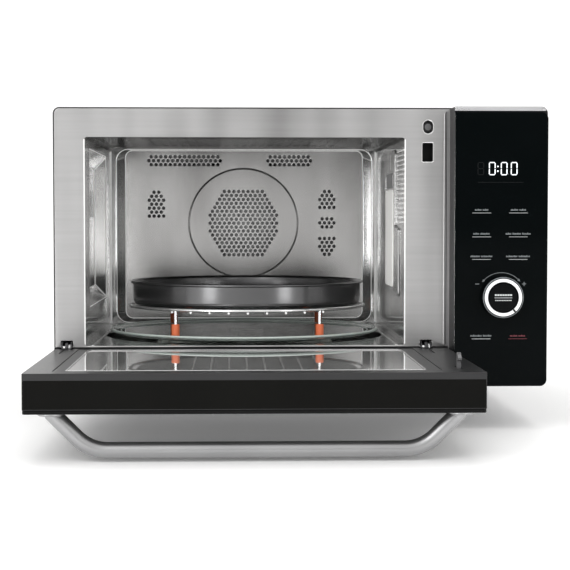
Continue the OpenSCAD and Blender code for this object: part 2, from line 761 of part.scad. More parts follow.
module control_housing() color("#17181a") oven() difference() {
    upright(-door_t - inner_w + panel_glass_t, door_t + inner_w - panel_glass_t)
        panel_outline(0, panel_top, true, true);
    upright(-door_t - inner_w + panel_glass_t + 2, door_t)
        panel_outline(0, panel_top, true, true, 2.5);
    rod_y(dial_x, -door_t, dial_z, 9, 12);
    block([184, -door_t, 214], [240, -door_t + 8, 242]);
    for (i = [0 : 6])
        block([180 + i * 10, -26, -1], [185 + i * 10, -8, 4]);
}

module control_glass() color("#0d0e10") oven() difference() {
    upright(-door_t - inner_w, panel_glass_t)
        panel_outline(0, panel_top - trim_h, true, false);
    rod_y(dial_x, -door_t - 2, dial_z, 9, 12);
}

module panel_trim() color("#a9acae") oven() upright(-door_t - inner_w, panel_glass_t) difference() {
    panel_outline(0, panel_top, true, true);
    translate([0, -1]) square([panel_x1 + 1, panel_top - trim_h + 1]);
}

module control_board() color("#235c3a") oven() difference() {
    union() {
        block([168, board_y, 40], [253, board_y + 1.6, 250]);
        block([185, -30.8, 215], [239, board_y, 241]);
        block([201, -31.5, dial_z - 10], [222, board_y, dial_z + 10]);
        for (z = [60, 130, 180])
            block([176, board_y + 1.6, z], [196, board_y + 12, z + 24]);
    }
    rod_y(dial_x, -40, dial_z, dial_shaft_r + fit, 20);
}

module dial() color("#d9dadb") oven() difference() {
    union() {
        rod_y(dial_x, -door_t - inner_w - dial_out, dial_z, dial_r, dial_out - 0.6);
        rod_y(dial_x, -door_t - inner_w - 2, dial_z, dial_shaft_r, 11);
    }
    rod_y(dial_x, -door_t - inner_w - dial_out - 1, dial_z, cap_r + 0.3, dial_out - 3);
    rod_y(dial_x, -60, dial_z, cap_stem_r + fit, 50);
}

module confirm_cap() color("#141516") oven() {
    rod_y(dial_x, -door_t - inner_w - dial_out + 0.6, dial_z, cap_r, 5);
    rod_y(dial_x, -door_t - inner_w - dial_out + 2, dial_z, cap_stem_r, 20);
}

// ---- Feet and fasteners ----

module feet() color("#161616") oven()
    for (x = foot_xs, y = foot_ys)
        translate([x, y, -foot_h]) difference() {
            union() {
                cylinder(r = 17, h = 6);
                translate([0, 0, 6]) cylinder(r1 = foot_r - 2, r2 = foot_r + 2, h = foot_h - 6);
            }
            translate([0, 0, foot_h - 12]) cylinder(r = 2, h = 13);
        }

module fasteners() color("#a6a9ab") oven() {
    for (x = foot_xs, y = foot_ys)
        translate([x, y, 0]) {
            translate([0, 0, -12]) cylinder(r = 2, h = 14);
            translate([0, 0, sheet_t]) cylinder(r = 4, h = 2);
        }
    for (x = [-248, 248], z = [30, 150, 270]) {
        rod_y(x, body_d - 8, z, 2, 8);
        rod_y(x, body_d, z, 4, 2);
    }
}

cabinet_wrapper();
rear_panel();
base_plate();
front_frame();
cavity_liner();
cavity_back_wall();
convection_duct();
convection_heater();
convection_motor();
convection_fan();
grill_reflector();
grill_heater();
grill_guard();
mica_cover();
waveguide();
magnetron();
transformer_core();
transformer_coils();
hv_capacitor();
fan_shroud();
cooling_motor();
cooling_fan();
oven_lamp();
lamp_bracket();
cord_gland();
turntable_motor();
turntable_coupler();
turntable_glass();
roller_ring();
roller_1();
roller_2();
roller_3();
wire_rack();
rack_sleeves();
baking_pan();
hinge_brackets();
hinge_pins();
hinge_springs();
hinge_arms();
door_bezel();
outer_glass();
inner_glass();
glass_trim();
door_screen();
choke_frame();
choke_cover();
handle();
latch_hook();
latch_pin();
interlock_bracket();
interlock_switches();
door_plunger();
control_housing();
control_glass();
panel_trim();
control_board();
dial();
confirm_cap();
feet();
fasteners();
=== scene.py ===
import math

import bmesh
import bpy
from mathutils import Matrix, Vector


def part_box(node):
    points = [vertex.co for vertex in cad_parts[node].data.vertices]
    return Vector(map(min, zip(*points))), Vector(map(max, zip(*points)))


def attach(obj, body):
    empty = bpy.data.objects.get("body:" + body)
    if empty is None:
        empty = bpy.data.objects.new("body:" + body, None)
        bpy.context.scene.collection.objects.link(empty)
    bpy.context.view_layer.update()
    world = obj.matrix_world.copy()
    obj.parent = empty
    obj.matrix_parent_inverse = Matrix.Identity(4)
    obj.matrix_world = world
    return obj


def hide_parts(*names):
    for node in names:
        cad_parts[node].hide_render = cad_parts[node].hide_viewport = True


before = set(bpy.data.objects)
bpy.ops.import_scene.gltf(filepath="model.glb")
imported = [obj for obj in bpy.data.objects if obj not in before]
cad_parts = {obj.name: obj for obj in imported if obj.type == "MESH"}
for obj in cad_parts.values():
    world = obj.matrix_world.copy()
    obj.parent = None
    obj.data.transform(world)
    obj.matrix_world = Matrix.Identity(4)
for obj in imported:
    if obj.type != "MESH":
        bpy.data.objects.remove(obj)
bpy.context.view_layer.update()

# ---------------- places
# Pieces are drawn in millimetres: X from the cabinet's middle, Y back from the front frame's face,
# Z up from the cabinet's lower edge. OVEN carries them into the frame, in metres.
MM = 0.001
FACE_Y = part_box("front_frame")[0].y
BASE_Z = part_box("cabinet_wrapper")[0].z
OVEN = Matrix.Translation((0, FACE_Y, BASE_Z)) @ Matrix.Scale(MM, 4)


def span(node):
    """Lowest and highest corner of a CAD node, in oven millimetres."""
    back = OVEN.inverted()
    low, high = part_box(node)
    return back @ low, back @ high


LINER = span("cavity_liner")
PLATE = span("turntable_glass")
RACK = span("wire_rack")
PAN = span("baking_pan")
DOOR = span("door_bezel")
DOOR_GLASS = span("outer_glass")
INNER = span("inner_glass")
PANEL = span("control_glass")
TRIM = span("panel_trim")
DIAL = span("dial")
CAP = span("confirm_cap")
HANDLE = span("handle")
# Heights in the cavity, and depths of its front edge, its step and its back wall.
SILL = 40.0
MOUTH_TOP = 262.4
CEILING = 266.0
WALL_TOP = 261.0
CAVITY_FRONT = 2.0
BACK_STEP = 336.0
BACK_WALL = 345.0
AXIS_X = (PLATE[0].x + PLATE[1].x) / 2
AXIS_Y = (PLATE[0].y + PLATE[1].y) / 2
HALF_WIDTH = LINER[1].x - 0.8 - AXIS_X
CAVITY = (AXIS_X - HALF_WIDTH, AXIS_X + HALF_WIDTH)
RACK_X = (RACK[0].x + RACK[1].x) / 2
# The rack's legs, from its middle.
LEGS = ((-80, -112), (80, -112), (-90.5, 103.6), (90.5, 103.6))
HINGE_Z = 38.2
FAN_Z = 170.0
# Air holes: distance along a row and from row to row.
HOLE_PITCH = 6.15
HOLE_ROW = 5.14
DIAL_X, DIAL_Z = (DIAL[0].x + DIAL[1].x) / 2, (DIAL[0].z + DIAL[1].z) / 2
# Thickness of a printed mark.
PRINT = 0.12


# ---------------- mesh helpers
def placed(name, data):
    """A new object in the scene."""
    made = bpy.data.objects.new(name, data)
    bpy.context.scene.collection.objects.link(made)
    return made


def put(bm, name, body, material, replaces=(), place=OVEN, doubles=0.0, sheet=0.0):
    """Turns a bmesh into a shown piece that rides on a body. An open sheet is given a thickness."""
    if doubles:
        bmesh.ops.remove_doubles(bm, verts=bm.verts, dist=doubles)
    bmesh.ops.recalc_face_normals(bm, faces=bm.faces)
    mesh = bpy.data.meshes.new(name)
    bm.to_mesh(mesh)
    bm.free()
    mesh.transform(place)
    mesh.shade_smooth()
    mesh.set_sharp_from_angle(angle=math.radians(35))
    piece = placed(name, mesh)
    mesh.materials.append(material)
    if sheet:
        solid = piece.modifiers.new("sheet", "SOLIDIFY")
        solid.thickness = sheet * MM
        solid.offset = 0
    weighted = piece.modifiers.new("weighted", "WEIGHTED_NORMAL")
    weighted.keep_sharp = True
    weighted.weight = 60
    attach(piece, body)
    if replaces:
        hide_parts(*replaces)


def rounded(x0, z0, x1, z1, r, n=6):
    """A loop that can grow: grow(d) gives the rounded rectangle's points, moved out by d."""
    radii = r if isinstance(r, tuple) else (r, r, r, r)

    def grow(d=0.0):
        points = []
        quarters = ((x1, z0, -90), (x1, z1, 0), (x0, z1, 90), (x0, z0, 180))
        for (cx, cz, start), radius in zip(quarters, radii):
            rr = max(radius, 0.01)
            sx = 1 if cx == x1 else -1
            sz = 1 if cz == z1 else -1
            grown = max(rr + d, 0.005)
            ox, oz = cx - sx * rr, cz - sz * rr
            if rr + d < 0.005:
                ox, oz = cx + sx * (d - 0.005), cz + sz * (d - 0.005)
            for i in range(n + 1):
                a = math.radians(start + 90 * i / n)
                points.append((ox + grown * math.cos(a), oz + grown * math.sin(a)))
        return points

    return grow


def corners(points, r, n=5):
    """A loop round a polygon, listed anticlockwise, with every corner rounded, that can grow."""
    def grow(d=0.0):
        made = []
        for i, here in enumerate(points):
            a = (Vector(here) - Vector(points[i - 1])).normalized()
            b = (Vector(points[(i + 1) % len(points)]) - Vector(here)).normalized()
            turn = 1 if a.x * b.y - a.y * b.x > 0 else -1
            out_a, out_b = Vector((a.y, -a.x)), Vector((b.y, -b.x))
            centre = Vector(here) - turn * r * (out_a + out_b) / (1 + out_a.dot(out_b))
            for k in range(n + 1):
                way = out_a.lerp(out_b, k / n).normalized()
                made.append(tuple(centre + way * turn * max(r + turn * d, 0.02)))
        return made

    return grow


def ring(x, z, r, n=16):
    """A round loop that can grow."""
    def grow(d=0.0):
        steps = [2 * math.pi * i / n for i in range(n)]
        return [(x + (r + d) * math.cos(a), z + (r + d) * math.sin(a)) for a in steps]

    return grow


def upright(y):
    """Flat loops stand up at depth y, and their thickness runs backwards."""
    return lambda u, v, w: (u, y + w, v)


def sideways(x, way=1):
    """Flat loops lie in depth and height at x, and their thickness runs along way."""
    return lambda u, v, w: (x + way * w, u, v)


def flat(z, way=-1):
    """Flat loops lie level at height z, and their thickness runs along way."""
    return lambda u, v, w: (u, v, z + way * w)


def add_loop(bm, points, w, axes):
    """The vertices of a flat loop, put in place by axes."""
    return [bm.verts.new(axes(u, v, w)) for u, v in points]


def bridge(bm, a, b):
    """A band of faces between two closed loops of equal length."""
    for i in range(len(a)):
        j = (i + 1) % len(a)
        bm.faces.new((a[i], a[j], b[j], b[i]))


def cap(bm, loops):
    """Fills the space inside the first loop and outside the others."""
    edges = []
    for loop in loops:
        for i, v in enumerate(loop):
            pair = (v, loop[(i + 1) % len(loop)])
            edges.append(bm.edges.get(pair) or bm.edges.new(pair))
    bmesh.ops.triangle_fill(bm, use_beauty=True, use_dissolve=False, edges=edges)


def plate(outline, holes, t, axes, bevel=0.4, bm=None):
    """A flat sheet with holes and softly rounded rims."""
    bm = bm or bmesh.new()
    steps = [(1.0, 0.0), (0.3, 0.3), (0.0, 1.0)]
    rims = [(d * bevel, w * bevel) for d, w in steps]
    rims += [(d, t - w) for d, w in reversed(rims)]
    front, back = [], []
    for i, loop in enumerate([outline] + list(holes)):
        sign = -1 if i == 0 else 1
        rings = [add_loop(bm, loop(sign * d), w, axes) for d, w in rims]
        for a, b in zip(rings, rings[1:]):
            bridge(bm, a, b)
        front.append(rings[0])
        back.append(rings[-1])
    cap(bm, front)
    cap(bm, back)
    return bm


def nested(loops, axes, fill=True, bm=None):
    """Joins loops of equal length, each at its own height: (loop points, height)."""
    bm = bm or bmesh.new()
    rings = [add_loop(bm, points, w, axes) for points, w in loops]
    for a, b in zip(rings, rings[1:]):
        bridge(bm, a, b)
    if fill:
        bm.faces.new(rings[-1])
    return bm


def block(low, high, bevel, bm=None):
    """A block with rounded edges."""
    bm = bm or bmesh.new()
    made = bmesh.ops.create_cube(bm, size=1)["verts"]
    for v in made:
        v.co = Vector([low[i] + (v.co[i] + 0.5) * (high[i] - low[i]) for i in range(3)])
    edges = list({e for v in made for e in v.link_edges})
    bmesh.ops.bevel(bm, geom=edges, offset=bevel, segments=3, profile=0.5, affect="EDGES",
                    clamp_overlap=True)
    return bm


def lathe(profile, centre, axis="Z", n=96, bm=None):
    """Turns a profile of (radius, height) points about an axis through centre."""
    bm = bm or bmesh.new()
    turn = {"Z": lambda r, c, s, h: (r * c, r * s, h),
            "Y": lambda r, c, s, h: (r * c, h, r * s),
            "X": lambda r, c, s, h: (h, r * c, r * s)}[axis]
    rows = []
    for r, h in profile:
        if r < 1e-6:
            rows.append([bm.verts.new(Vector(centre) + Vector(turn(0, 1, 0, h)))])
        else:
            row = []
            for i in range(n):
                a = 2 * math.pi * i / n
                row.append(bm.verts.new(Vector(centre) + Vector(turn(r, math.cos(a), math.sin(a), h))))
            rows.append(row)
    for a, b in zip(rows, rows[1:]):
        for i in range(n):
            j = (i + 1) % n
            if len(a) == 1 and len(b) > 1:
                bm.faces.new((a[0], b[j], b[i]))
            elif len(b) == 1 and len(a) > 1:
                bm.faces.new((a[i], a[j], b[0]))
            elif len(a) > 1:
                bm.faces.new((a[i], a[j], b[j], b[i]))
    return bm


def sweep(points, radius, n=20, closed=False, bm=None):
    """A round bar along points, with domed ends unless it is closed."""
    bm = bm or bmesh.new()
    pts = [Vector(p) for p in points]
    last = len(pts) - 1
    tangents = []
    for i in range(len(pts)):
        if closed:
            t = pts[(i + 1) % len(pts)] - pts[i - 1]
        else:
            t = pts[min(i + 1, last)] - pts[max(i - 1, 0)]
        tangents.append(t.normalized())
    side = tangents[0].orthogonal().normalized()
    rows = []

    def row(centre, tangent, r):
        nonlocal side
        side = (side - tangent * side.dot(tangent)).normalized()
        other = tangent.cross(side)
        made = []
        for k in range(n):
            a = 2 * math.pi * k / n
            made.append(bm.verts.new(centre + (side * math.cos(a) + other * math.sin(a)) * r))
        return made

    if not closed:
        for r, out in [(0.66, 0.75), (0.95, 0.35)]:
            rows.append(row(pts[0] - tangents[0] * radius * 0.5 * out, tangents[0], radius * r))
    for p, t in zip(pts, tangents):
        rows.append(row(p, t, radius))
    if not closed:
        for r, out in [(0.95, 0.35), (0.66, 0.75)]:
            rows.append(row(pts[-1] + tangents[-1] * radius * 0.5 * out, tangents[-1], radius * r))
    for a, b in zip(rows, rows[1:]):
        bridge(bm, a, b)
    if closed:
        bridge(bm, rows[-1], rows[0])
    else:
        bm.faces.new(rows[0])
        bm.faces.new(rows[-1])
    return bm


def level_circle(x, r, n, z):
    """A circle of points at height z, round a centre at x on the turntable's depth."""
    return [(px, py, z) for px, py in ring(x, AXIS_Y, r, n)()]


def softened(node, body, material, width, segments=2):
    """A copy of a CAD node with its edges rounded."""
    bm = bmesh.new()
    bm.from_mesh(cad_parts[node].data)
    bmesh.ops.remove_doubles(bm, verts=bm.verts, dist=1e-6)
    bmesh.ops.dissolve_limit(bm, angle_limit=math.radians(1), verts=bm.verts, edges=bm.edges)
    edges = [e for e in bm.edges if len(e.link_faces) == 2 and e.calc_face_angle() > math.radians(40)]
    bmesh.ops.bevel(bm, geom=edges, offset=width * MM, segments=segments, profile=0.5, affect="EDGES",
                    clamp_overlap=True)
    put(bm, node + "_soft", body, material, (node,), place=Matrix.Identity(4))


# ---------------- materials
def shader(name, **sockets):
    """A material with a Principled shader, and its uniform numbers set on the shader's own sockets."""
    material = bpy.data.materials.new(name)
    material.use_nodes = True
    tree = material.node_tree
    bsdf = tree.nodes["Principled BSDF"]
    for key, value in sockets.items():
        bsdf.inputs[key.replace("_", " ")].default_value = value
    return material, tree, bsdf


def node(tree, kind, **values):
    """A new shader node. Each value sets a property where the node has it, and otherwise a socket."""
    made = tree.nodes.new(kind)
    for key, value in values.items():
        if hasattr(made, key):
            setattr(made, key, value)
        else:
            made.inputs[key.replace("_", " ")].default_value = value
    return made


def stretched_noise(tree, scale, detail):
    """Noise in object space, stretched by a scale for each axis."""
    where = node(tree, "ShaderNodeTexCoord")
    mapping = node(tree, "ShaderNodeMapping")
    mapping.inputs["Scale"].default_value = scale
    noise = node(tree, "ShaderNodeTexNoise", Scale=1.0, Detail=detail, Roughness=0.55)
    tree.links.new(where.outputs["Object"], mapping.inputs["Vector"])
    tree.links.new(mapping.outputs["Vector"], noise.inputs["Vector"])
    return noise


def spread(tree, source, low, high):
    """Maps noise, which mostly lies between 0.3 and 0.7, to a range."""
    ramp = node(tree, "ShaderNodeMapRange")
    ramp.inputs["From Min"].default_value = 0.3
    ramp.inputs["From Max"].default_value = 0.7
    ramp.inputs["To Min"].default_value = low
    ramp.inputs["To Max"].default_value = high
    tree.links.new(source, ramp.inputs["Value"])
    return ramp.outputs["Result"]


def tint(tree, source, dark, light):
    """Mixes two colours by a value."""
    mix = node(tree, "ShaderNodeMix", data_type="RGBA")
    mix.inputs["A"].default_value = (*dark, 1)
    mix.inputs["B"].default_value = (*light, 1)
    tree.links.new(source, mix.inputs["Factor"])
    return mix.outputs["Result"]


def painted(tree, bsdf, noise, dark, light):
    """Gives the shader a colour that drifts between dark and light."""
    paint = tint(tree, spread(tree, noise.outputs["Fac"], 0, 1), dark, light)
    tree.links.new(paint, bsdf.inputs["Base Color"])
    return paint


def bump(tree, bsdf, source, strength, distance):
    made = node(tree, "ShaderNodeBump", Strength=strength, Distance=distance)
    tree.links.new(source, made.inputs["Height"])
    tree.links.new(made.outputs["Normal"], bsdf.inputs["Normal"])


def steel(name, dark, light, rough, grain, cloud=(9, 9, 9), grain_share=0.1, depth=0.000004, **sockets):
    """Rolled or brushed sheet steel: broad soft clouds, a faint grain, and a gentle unevenness."""
    material, tree, bsdf = shader(name, **{"Metallic": 0.9, **sockets})
    fine = stretched_noise(tree, grain, 3.0)
    soft = stretched_noise(tree, cloud, 1.5)
    blend = node(tree, "ShaderNodeMix", data_type="FLOAT")
    blend.inputs["Factor"].default_value = grain_share
    tree.links.new(soft.outputs["Fac"], blend.inputs["A"])
    tree.links.new(fine.outputs["Fac"], blend.inputs["B"])
    value = spread(tree, blend.outputs["Result"], 0, 1)
    tree.links.new(tint(tree, value, dark, light), bsdf.inputs["Base Color"])
    tree.links.new(spread(tree, blend.outputs["Result"], rough[0], rough[1]), bsdf.inputs["Roughness"])
    bump(tree, bsdf, fine.outputs["Fac"], 0.1, depth)
    return material


def moulded(name, dark, light, rough=(0.35, 0.45), size=900, depth=0.00003, strength=0.15, **sockets):
    """Moulded plastic, paint or rubber with a fine texture."""
    material, tree, bsdf = shader(name, **sockets)
    fine = stretched_noise(tree, (size, size, size), 3.0)
    cloud = stretched_noise(tree, (12, 12, 12), 2.0)
    painted(tree, bsdf, cloud, dark, light)
    tree.links.new(spread(tree, fine.outputs["Fac"], rough[0], rough[1]), bsdf.inputs["Roughness"])
    bump(tree, bsdf, fine.outputs["Fac"], strength, depth)
    return material


def glowing(name, colour, power):
    """A plain colour that also shines faintly. On the lit digits the glow is the display's own light; on
    print, the dial's band, bright edges, the plate's rim lines and the mica sheet it is painted light.
    """
    material, tree, bsdf = shader(name, Roughness=0.4)
    soft = stretched_noise(tree, (200, 200, 200), 1.0)
    paint = painted(tree, bsdf, soft, [c * 0.93 for c in colour], colour)
    tree.links.new(paint, bsdf.inputs["Emission Color"])
    bsdf.inputs["Emission Strength"].default_value = power
    return material


FRAME_STEEL = steel("frame_steel", (0.28, 0.277, 0.277), (0.57, 0.567, 0.567), (0.28, 0.34), (6, 6, 300),
                    (15, 9, 3))
CAVITY_STEEL = steel("cavity_steel", (0.60, 0.60, 0.595), (0.90, 0.90, 0.895), (0.09, 0.16), (40, 40, 200),
                     (8, 14, 14), Metallic=0.75)
# A darker copy of the cavity steel for the floor: painted shade.
SHADED_FLOOR_STEEL = steel("floor_painted_shade_steel", (0.20, 0.20, 0.197), (0.38, 0.38, 0.376), (0.10, 0.18), (40, 200, 40),
                    (8, 14, 14))
# A much darker copy of the cavity steel for the ceiling: painted shade.
SHADED_CEILING_STEEL = steel("ceiling_painted_shade_steel", (0.06, 0.06, 0.059), (0.10, 0.10, 0.099), (0.2, 0.28), (40, 40, 200),
                      Specular_Tint=(0.22, 0.22, 0.215, 1))
BACK_STEEL = steel("back_steel", (0.35, 0.345, 0.34), (0.70, 0.695, 0.69), (0.20, 0.28), (250, 40, 20),
                   (12, 9, 4), Metallic=0.85)
DULL_STEEL = steel("dull_steel", (0.30, 0.30, 0.31), (0.42, 0.42, 0.43), (0.35, 0.5), (60, 60, 60))
DARK_STEEL = steel("dark_steel", (0.05, 0.05, 0.052), (0.09, 0.09, 0.093), (0.35, 0.5), (90, 90, 90))
# Bright steel for the wires, pins and trim, also used for painted highlight lines round the frame's holes and
# along the right pad's fold.
BRIGHT_WIRE_AND_HIGHLIGHT = steel("bright_wire_and_highlight", (0.80, 0.80, 0.80), (0.90, 0.90, 0.90), (0.12, 0.2), (200, 200, 200))
HANDLE_METAL = steel("handle_metal", (0.36, 0.36, 0.365), (0.42, 0.42, 0.425), (0.30, 0.38), (9, 400, 400))
TRIM_METAL = steel("trim_metal", (0.55, 0.55, 0.56), (0.62, 0.62, 0.63), (0.25, 0.3), (9, 400, 400),
                   depth=0.000001)
CASTING = steel("casting", (0.5, 0.5, 0.51), (0.62, 0.62, 0.63), (0.35, 0.5), (120, 120, 120))
HEATER = steel("heater_tube", (0.05, 0.05, 0.055), (0.11, 0.10, 0.10), (0.4, 0.55), (150, 150, 150))
NON_STICK = steel("non_stick", (0.115, 0.115, 0.117), (0.14, 0.14, 0.143), (0.19, 0.22), (300, 300, 300),
                  depth=0.000002)
BLACK_PAINT = moulded("black_paint", (0.012, 0.012, 0.013), (0.017, 0.017, 0.018), (0.3, 0.4), 700)
DOOR_BLACK = moulded("door_black", (0.0045, 0.0045, 0.0040), (0.0055, 0.0055, 0.0048), (0.42, 0.5), 1200,
                     Specular_IOR_Level=0.06)
INNER_GREY = moulded("inner_grey", (0.016, 0.016, 0.017), (0.021, 0.021, 0.022), (0.28, 0.36), 1000,
                     Specular_IOR_Level=0.42)
PANEL_BLACK = moulded("panel_black", (0.006, 0.006, 0.007), (0.009, 0.009, 0.010), (0.35, 0.45), 900,
                      Specular_IOR_Level=0.2)
PANEL_GLASS = moulded("panel_glass", (0.0012, 0.0022, 0.0024), (0.0018, 0.0028, 0.0031), (0.06, 0.09), 30,
                      0.00001, 0.02, Specular_IOR_Level=0.04)
OUTER_GLASS = moulded("outer_glass", (0.003, 0.003, 0.003), (0.004, 0.004, 0.004), (0.10, 0.14), 30,
                      0.00001, 0.02, Specular_IOR_Level=0.12)
RUBBER = moulded("rubber", (0.010, 0.010, 0.010), (0.016, 0.016, 0.016), (0.6, 0.75), 600, 0.00006, 0.3)
WHITE_PLASTIC = moulded("white_plastic", (0.62, 0.62, 0.60), (0.70, 0.70, 0.68), (0.35, 0.45), 800)
GREY_PLASTIC = moulded("grey_plastic", (0.10, 0.10, 0.103), (0.13, 0.13, 0.134), (0.35, 0.45), 800)
SILICONE = moulded("silicone", (0.80, 0.17, 0.065), (0.88, 0.21, 0.085), (0.45, 0.55), 700, 0.00004, 0.2)
COPPER = moulded("copper", (0.28, 0.075, 0.03), (0.42, 0.13, 0.05), (0.25, 0.4), 300)
CIRCUIT = moulded("circuit", (0.008, 0.06, 0.025), (0.015, 0.1, 0.04), (0.35, 0.5), 400)
DIAL_BLACK = moulded("dial_black", (0.002, 0.0025, 0.003), (0.003, 0.0035, 0.004), (0.2, 0.28), 900,
                     Specular_IOR_Level=0.07)
# Glowing lines along the cavity's folds and the mouth's sides: painted highlights.
EDGE_HIGHLIGHT = glowing("edge_painted_highlight", (0.90, 0.90, 0.89), 0.3)
# The mica sheet's faint glow is painted light.
MICA = glowing("mica", (0.92, 0.915, 0.89), 0.35)
# Print and the dial's white band are their own colours, and their faint glow is painted light.
PRINT_WHITE = glowing("print_white", (0.60, 0.62, 0.63), 0.2)
# This grey is also the dial edge's painted highlight line.
GREY_PRINT_AND_HIGHLIGHT = glowing("grey_print_and_highlight", (0.22, 0.24, 0.25), 0.05)
PRINT_RED = glowing("print_red", (0.20, 0.03, 0.045), 0.08)
PRINT_FAINT = moulded("print_faint", (0.0035, 0.0045, 0.005), (0.0045, 0.0055, 0.006),
                      Specular_IOR_Level=0.12)
DIGIT_WHITE = glowing("digit_white", (0.88, 0.93, 0.97), 0.8)
RING_WHITE = glowing("ring_white", (0.84, 0.85, 0.86), 0.25)


def clear_glass(name, colour, rough):
    material, tree, bsdf = shader(name, Roughness=rough, IOR=1.5, Transmission_Weight=1.0)
    smear = stretched_noise(tree, (25, 25, 25), 2.0)
    painted(tree, bsdf, smear, [c * 0.97 for c in colour], colour)
    bump(tree, bsdf, smear.outputs["Fac"], 0.02, 0.0002)
    return material


PLATE_GLASS = clear_glass("plate_glass", (0.90, 0.97, 0.94), 0.04)
# Glowing lines on the plate's rim: painted highlights.
RIM_HIGHLIGHT = glowing("rim_painted_highlight", (0.58, 0.63, 0.60), 0.14)
BULB_GLASS = clear_glass("bulb_glass", (0.98, 0.96, 0.9), 0.1)


def mirror_glass():
    """The door's inner glass: dark glass over a metal screen, which reflects the cavity like a mirror."""
    material, tree, bsdf = shader("mirror_glass", Metallic=0.62, Coat_Weight=1.0, Coat_Roughness=0.02)
    smear = stretched_noise(tree, (10, 10, 10), 2.0)
    painted(tree, bsdf, smear, (0.74, 0.74, 0.735), (0.80, 0.80, 0.795))
    tree.links.new(spread(tree, smear.outputs["Fac"], 0.02, 0.045), bsdf.inputs["Roughness"])
    bump(tree, bsdf, smear.outputs["Fac"], 0.02, 0.0002)
    return material


MIRROR_GLASS = mirror_glass()


# ---------------- cabinet
def cabinet():
    softened("cabinet_wrapper", "oven", BLACK_PAINT, 0.3)
    softened("rear_panel", "oven", BLACK_PAINT, 0.25)
    softened("base_plate", "oven", DULL_STEEL, 0.25)
    softened("feet", "oven", RUBBER, 0.8)
    softened("cord_gland", "oven", RUBBER, 0.4)


def front_frame():
    """The pressed frame: one sheet in front, a second behind the panel, and a rolled mouth whose sides carry
    glowing lines as painted highlights.
    """
    side, right, top = 258.8, 161.0, 292.8
    latch_slot, plunger_hole = (132, 236, 144.8, 257.4), (132.8, 266, 144.8, 281.4)
    holes = [rounded(CAVITY[0], SILL, CAVITY[1], MOUTH_TOP, 4), rounded(*latch_slot, 2.2)]
    holes.append(rounded(*plunger_hole, 5.99, 8))
    hinge_w = 12.8
    holes += [rounded(x, 39.7, x + hinge_w, 46, 0.8) for x in (-252.9, 130.6)]
    outline = rounded(-side, HINGE_Z + 0.6, right, top, (0.5, 0.5, 6, 0.5), 8)
    bm = plate(outline, holes, 1.0, upright(0), 0.45)
    plate(rounded(right, 0.2, side, top, (0.5, 5, 0.5, 0.5)), [rounded(178, 20, 246, 274, 6)], 1.0,
          upright(0), 0.2, bm)
    put(bm, "front_frame_sheet", "oven", FRAME_STEEL, ("front_frame",))
    # Glowing lines down the mouth's sides: painted highlights.
    for name, x in zip(("mouth_edge_highlight_left", "mouth_edge_highlight_right"), CAVITY):
        bm = sweep([(x, 0.9, z) for z in (SILL + 2, SILL + 100, MOUTH_TOP - 2)], 0.9, 16)
        put(bm, name, "oven", EDGE_HIGHLIGHT)
    bm = sweep([(x, 0.8, SILL) for x in (CAVITY[0] + 3, AXIS_X, CAVITY[1] - 3)], 0.6, 14)
    put(bm, "sill_edge", "oven", FRAME_STEEL)
    bm = sweep([(156.5, 1.1, z) for z in (41, 160, 288)], 1.5, 20)
    put(bm, "frame_bead", "oven", FRAME_STEEL)
    # A thin dark line beside the bead, and a dark strip beside the panel housing that is painted shade.
    bm = block((158.1, -0.1, 41), (158.9, 0.5, 290), 0.05)
    block((163.4, 0.6, 6), (166.6, 1.2, 288), 0.1, bm=bm)
    put(bm, "frame_dark_line_and_shade", "oven", DARK_STEEL)
    wider = (-0.4, -0.4, 0.4, 0.4)
    section = [(0.0, 0.4), (0.35, 0.05), (0.8, 0.0), (1.2, 0.4), (0.8, 1.2), (0.2, 1.2)]
    # Bright rims round the latch slot and plunger hole, lighter than the frame: painted highlights on their
    # bevels.
    for name, hole, radius in (("slot_rim", latch_slot, 2.4), ("plunger_rim", plunger_hole, 6.4)):
        rim = rounded(*[edge + more for edge, more in zip(hole, wider)], radius, 8)
        bm = nested([(rim(-d), w) for d, w in section + section[:1]], upright(-0.05), fill=False)
        put(bm, name, "oven", BRIGHT_WIRE_AND_HIGHLIGHT, doubles=0.001)


# ---------------- cavity
def left_wall():
    """The left wall: one pressed recess with sloping sides, and a glowing line along each of its folds as a
    painted highlight.
    """
    x = CAVITY[0]
    y0, y1, z0, z1 = 50, 265, 79, 252.5
    slope_y, slope_z, depth, lead = 32, 16, 11, 1.2
    edge = rounded(CAVITY_FRONT, SILL, BACK_STEP, WALL_TOP, 0.01)
    outer = rounded(y0, z0, y1, z1, 4)
    inner = rounded(y0 + slope_y, z0 + slope_z, y1 - slope_y, z1 - slope_z, 2)
    loops = [(edge(), 0), (outer(3 * lead), 0), (outer(lead), -0.5), (outer(0), -0.2)]
    loops += [(outer(-lead), depth * 0.06), (inner(lead), depth * 0.95)]
    loops += [(inner(0), depth * 0.99), (inner(-lead), depth)]
    bm = nested(loops, sideways(x, -1))
    put(bm, "left_wall", "oven", CAVITY_STEEL, ("cavity_liner",), sheet=0.6)
    deep = depth - 0.4
    inner = rounded(y0 + slope_y, z0 + slope_z, y1 - slope_y, z1 - slope_z, 3)
    bm = sweep([(x + 0.2, y, z) for y, z in outer()], 0.55, 10, closed=True)
    sweep([(x - deep, y, z) for y, z in inner()], 0.5, 10, closed=True, bm=bm)
    for y, way_y in ((y0, 1), (y1, -1)):
        for z, way_z in ((z0, 1), (z1, -1)):
            fold = [(x - k * deep, y + way_y * (1 + k * slope_y), z + way_z * (1 + k * slope_z))
                    for k in (0, 0.5, 1)]
            sweep(fold, 0.5, 10, bm=bm)
    put(bm, "recess_edge_highlights", "oven", EDGE_HIGHLIGHT)


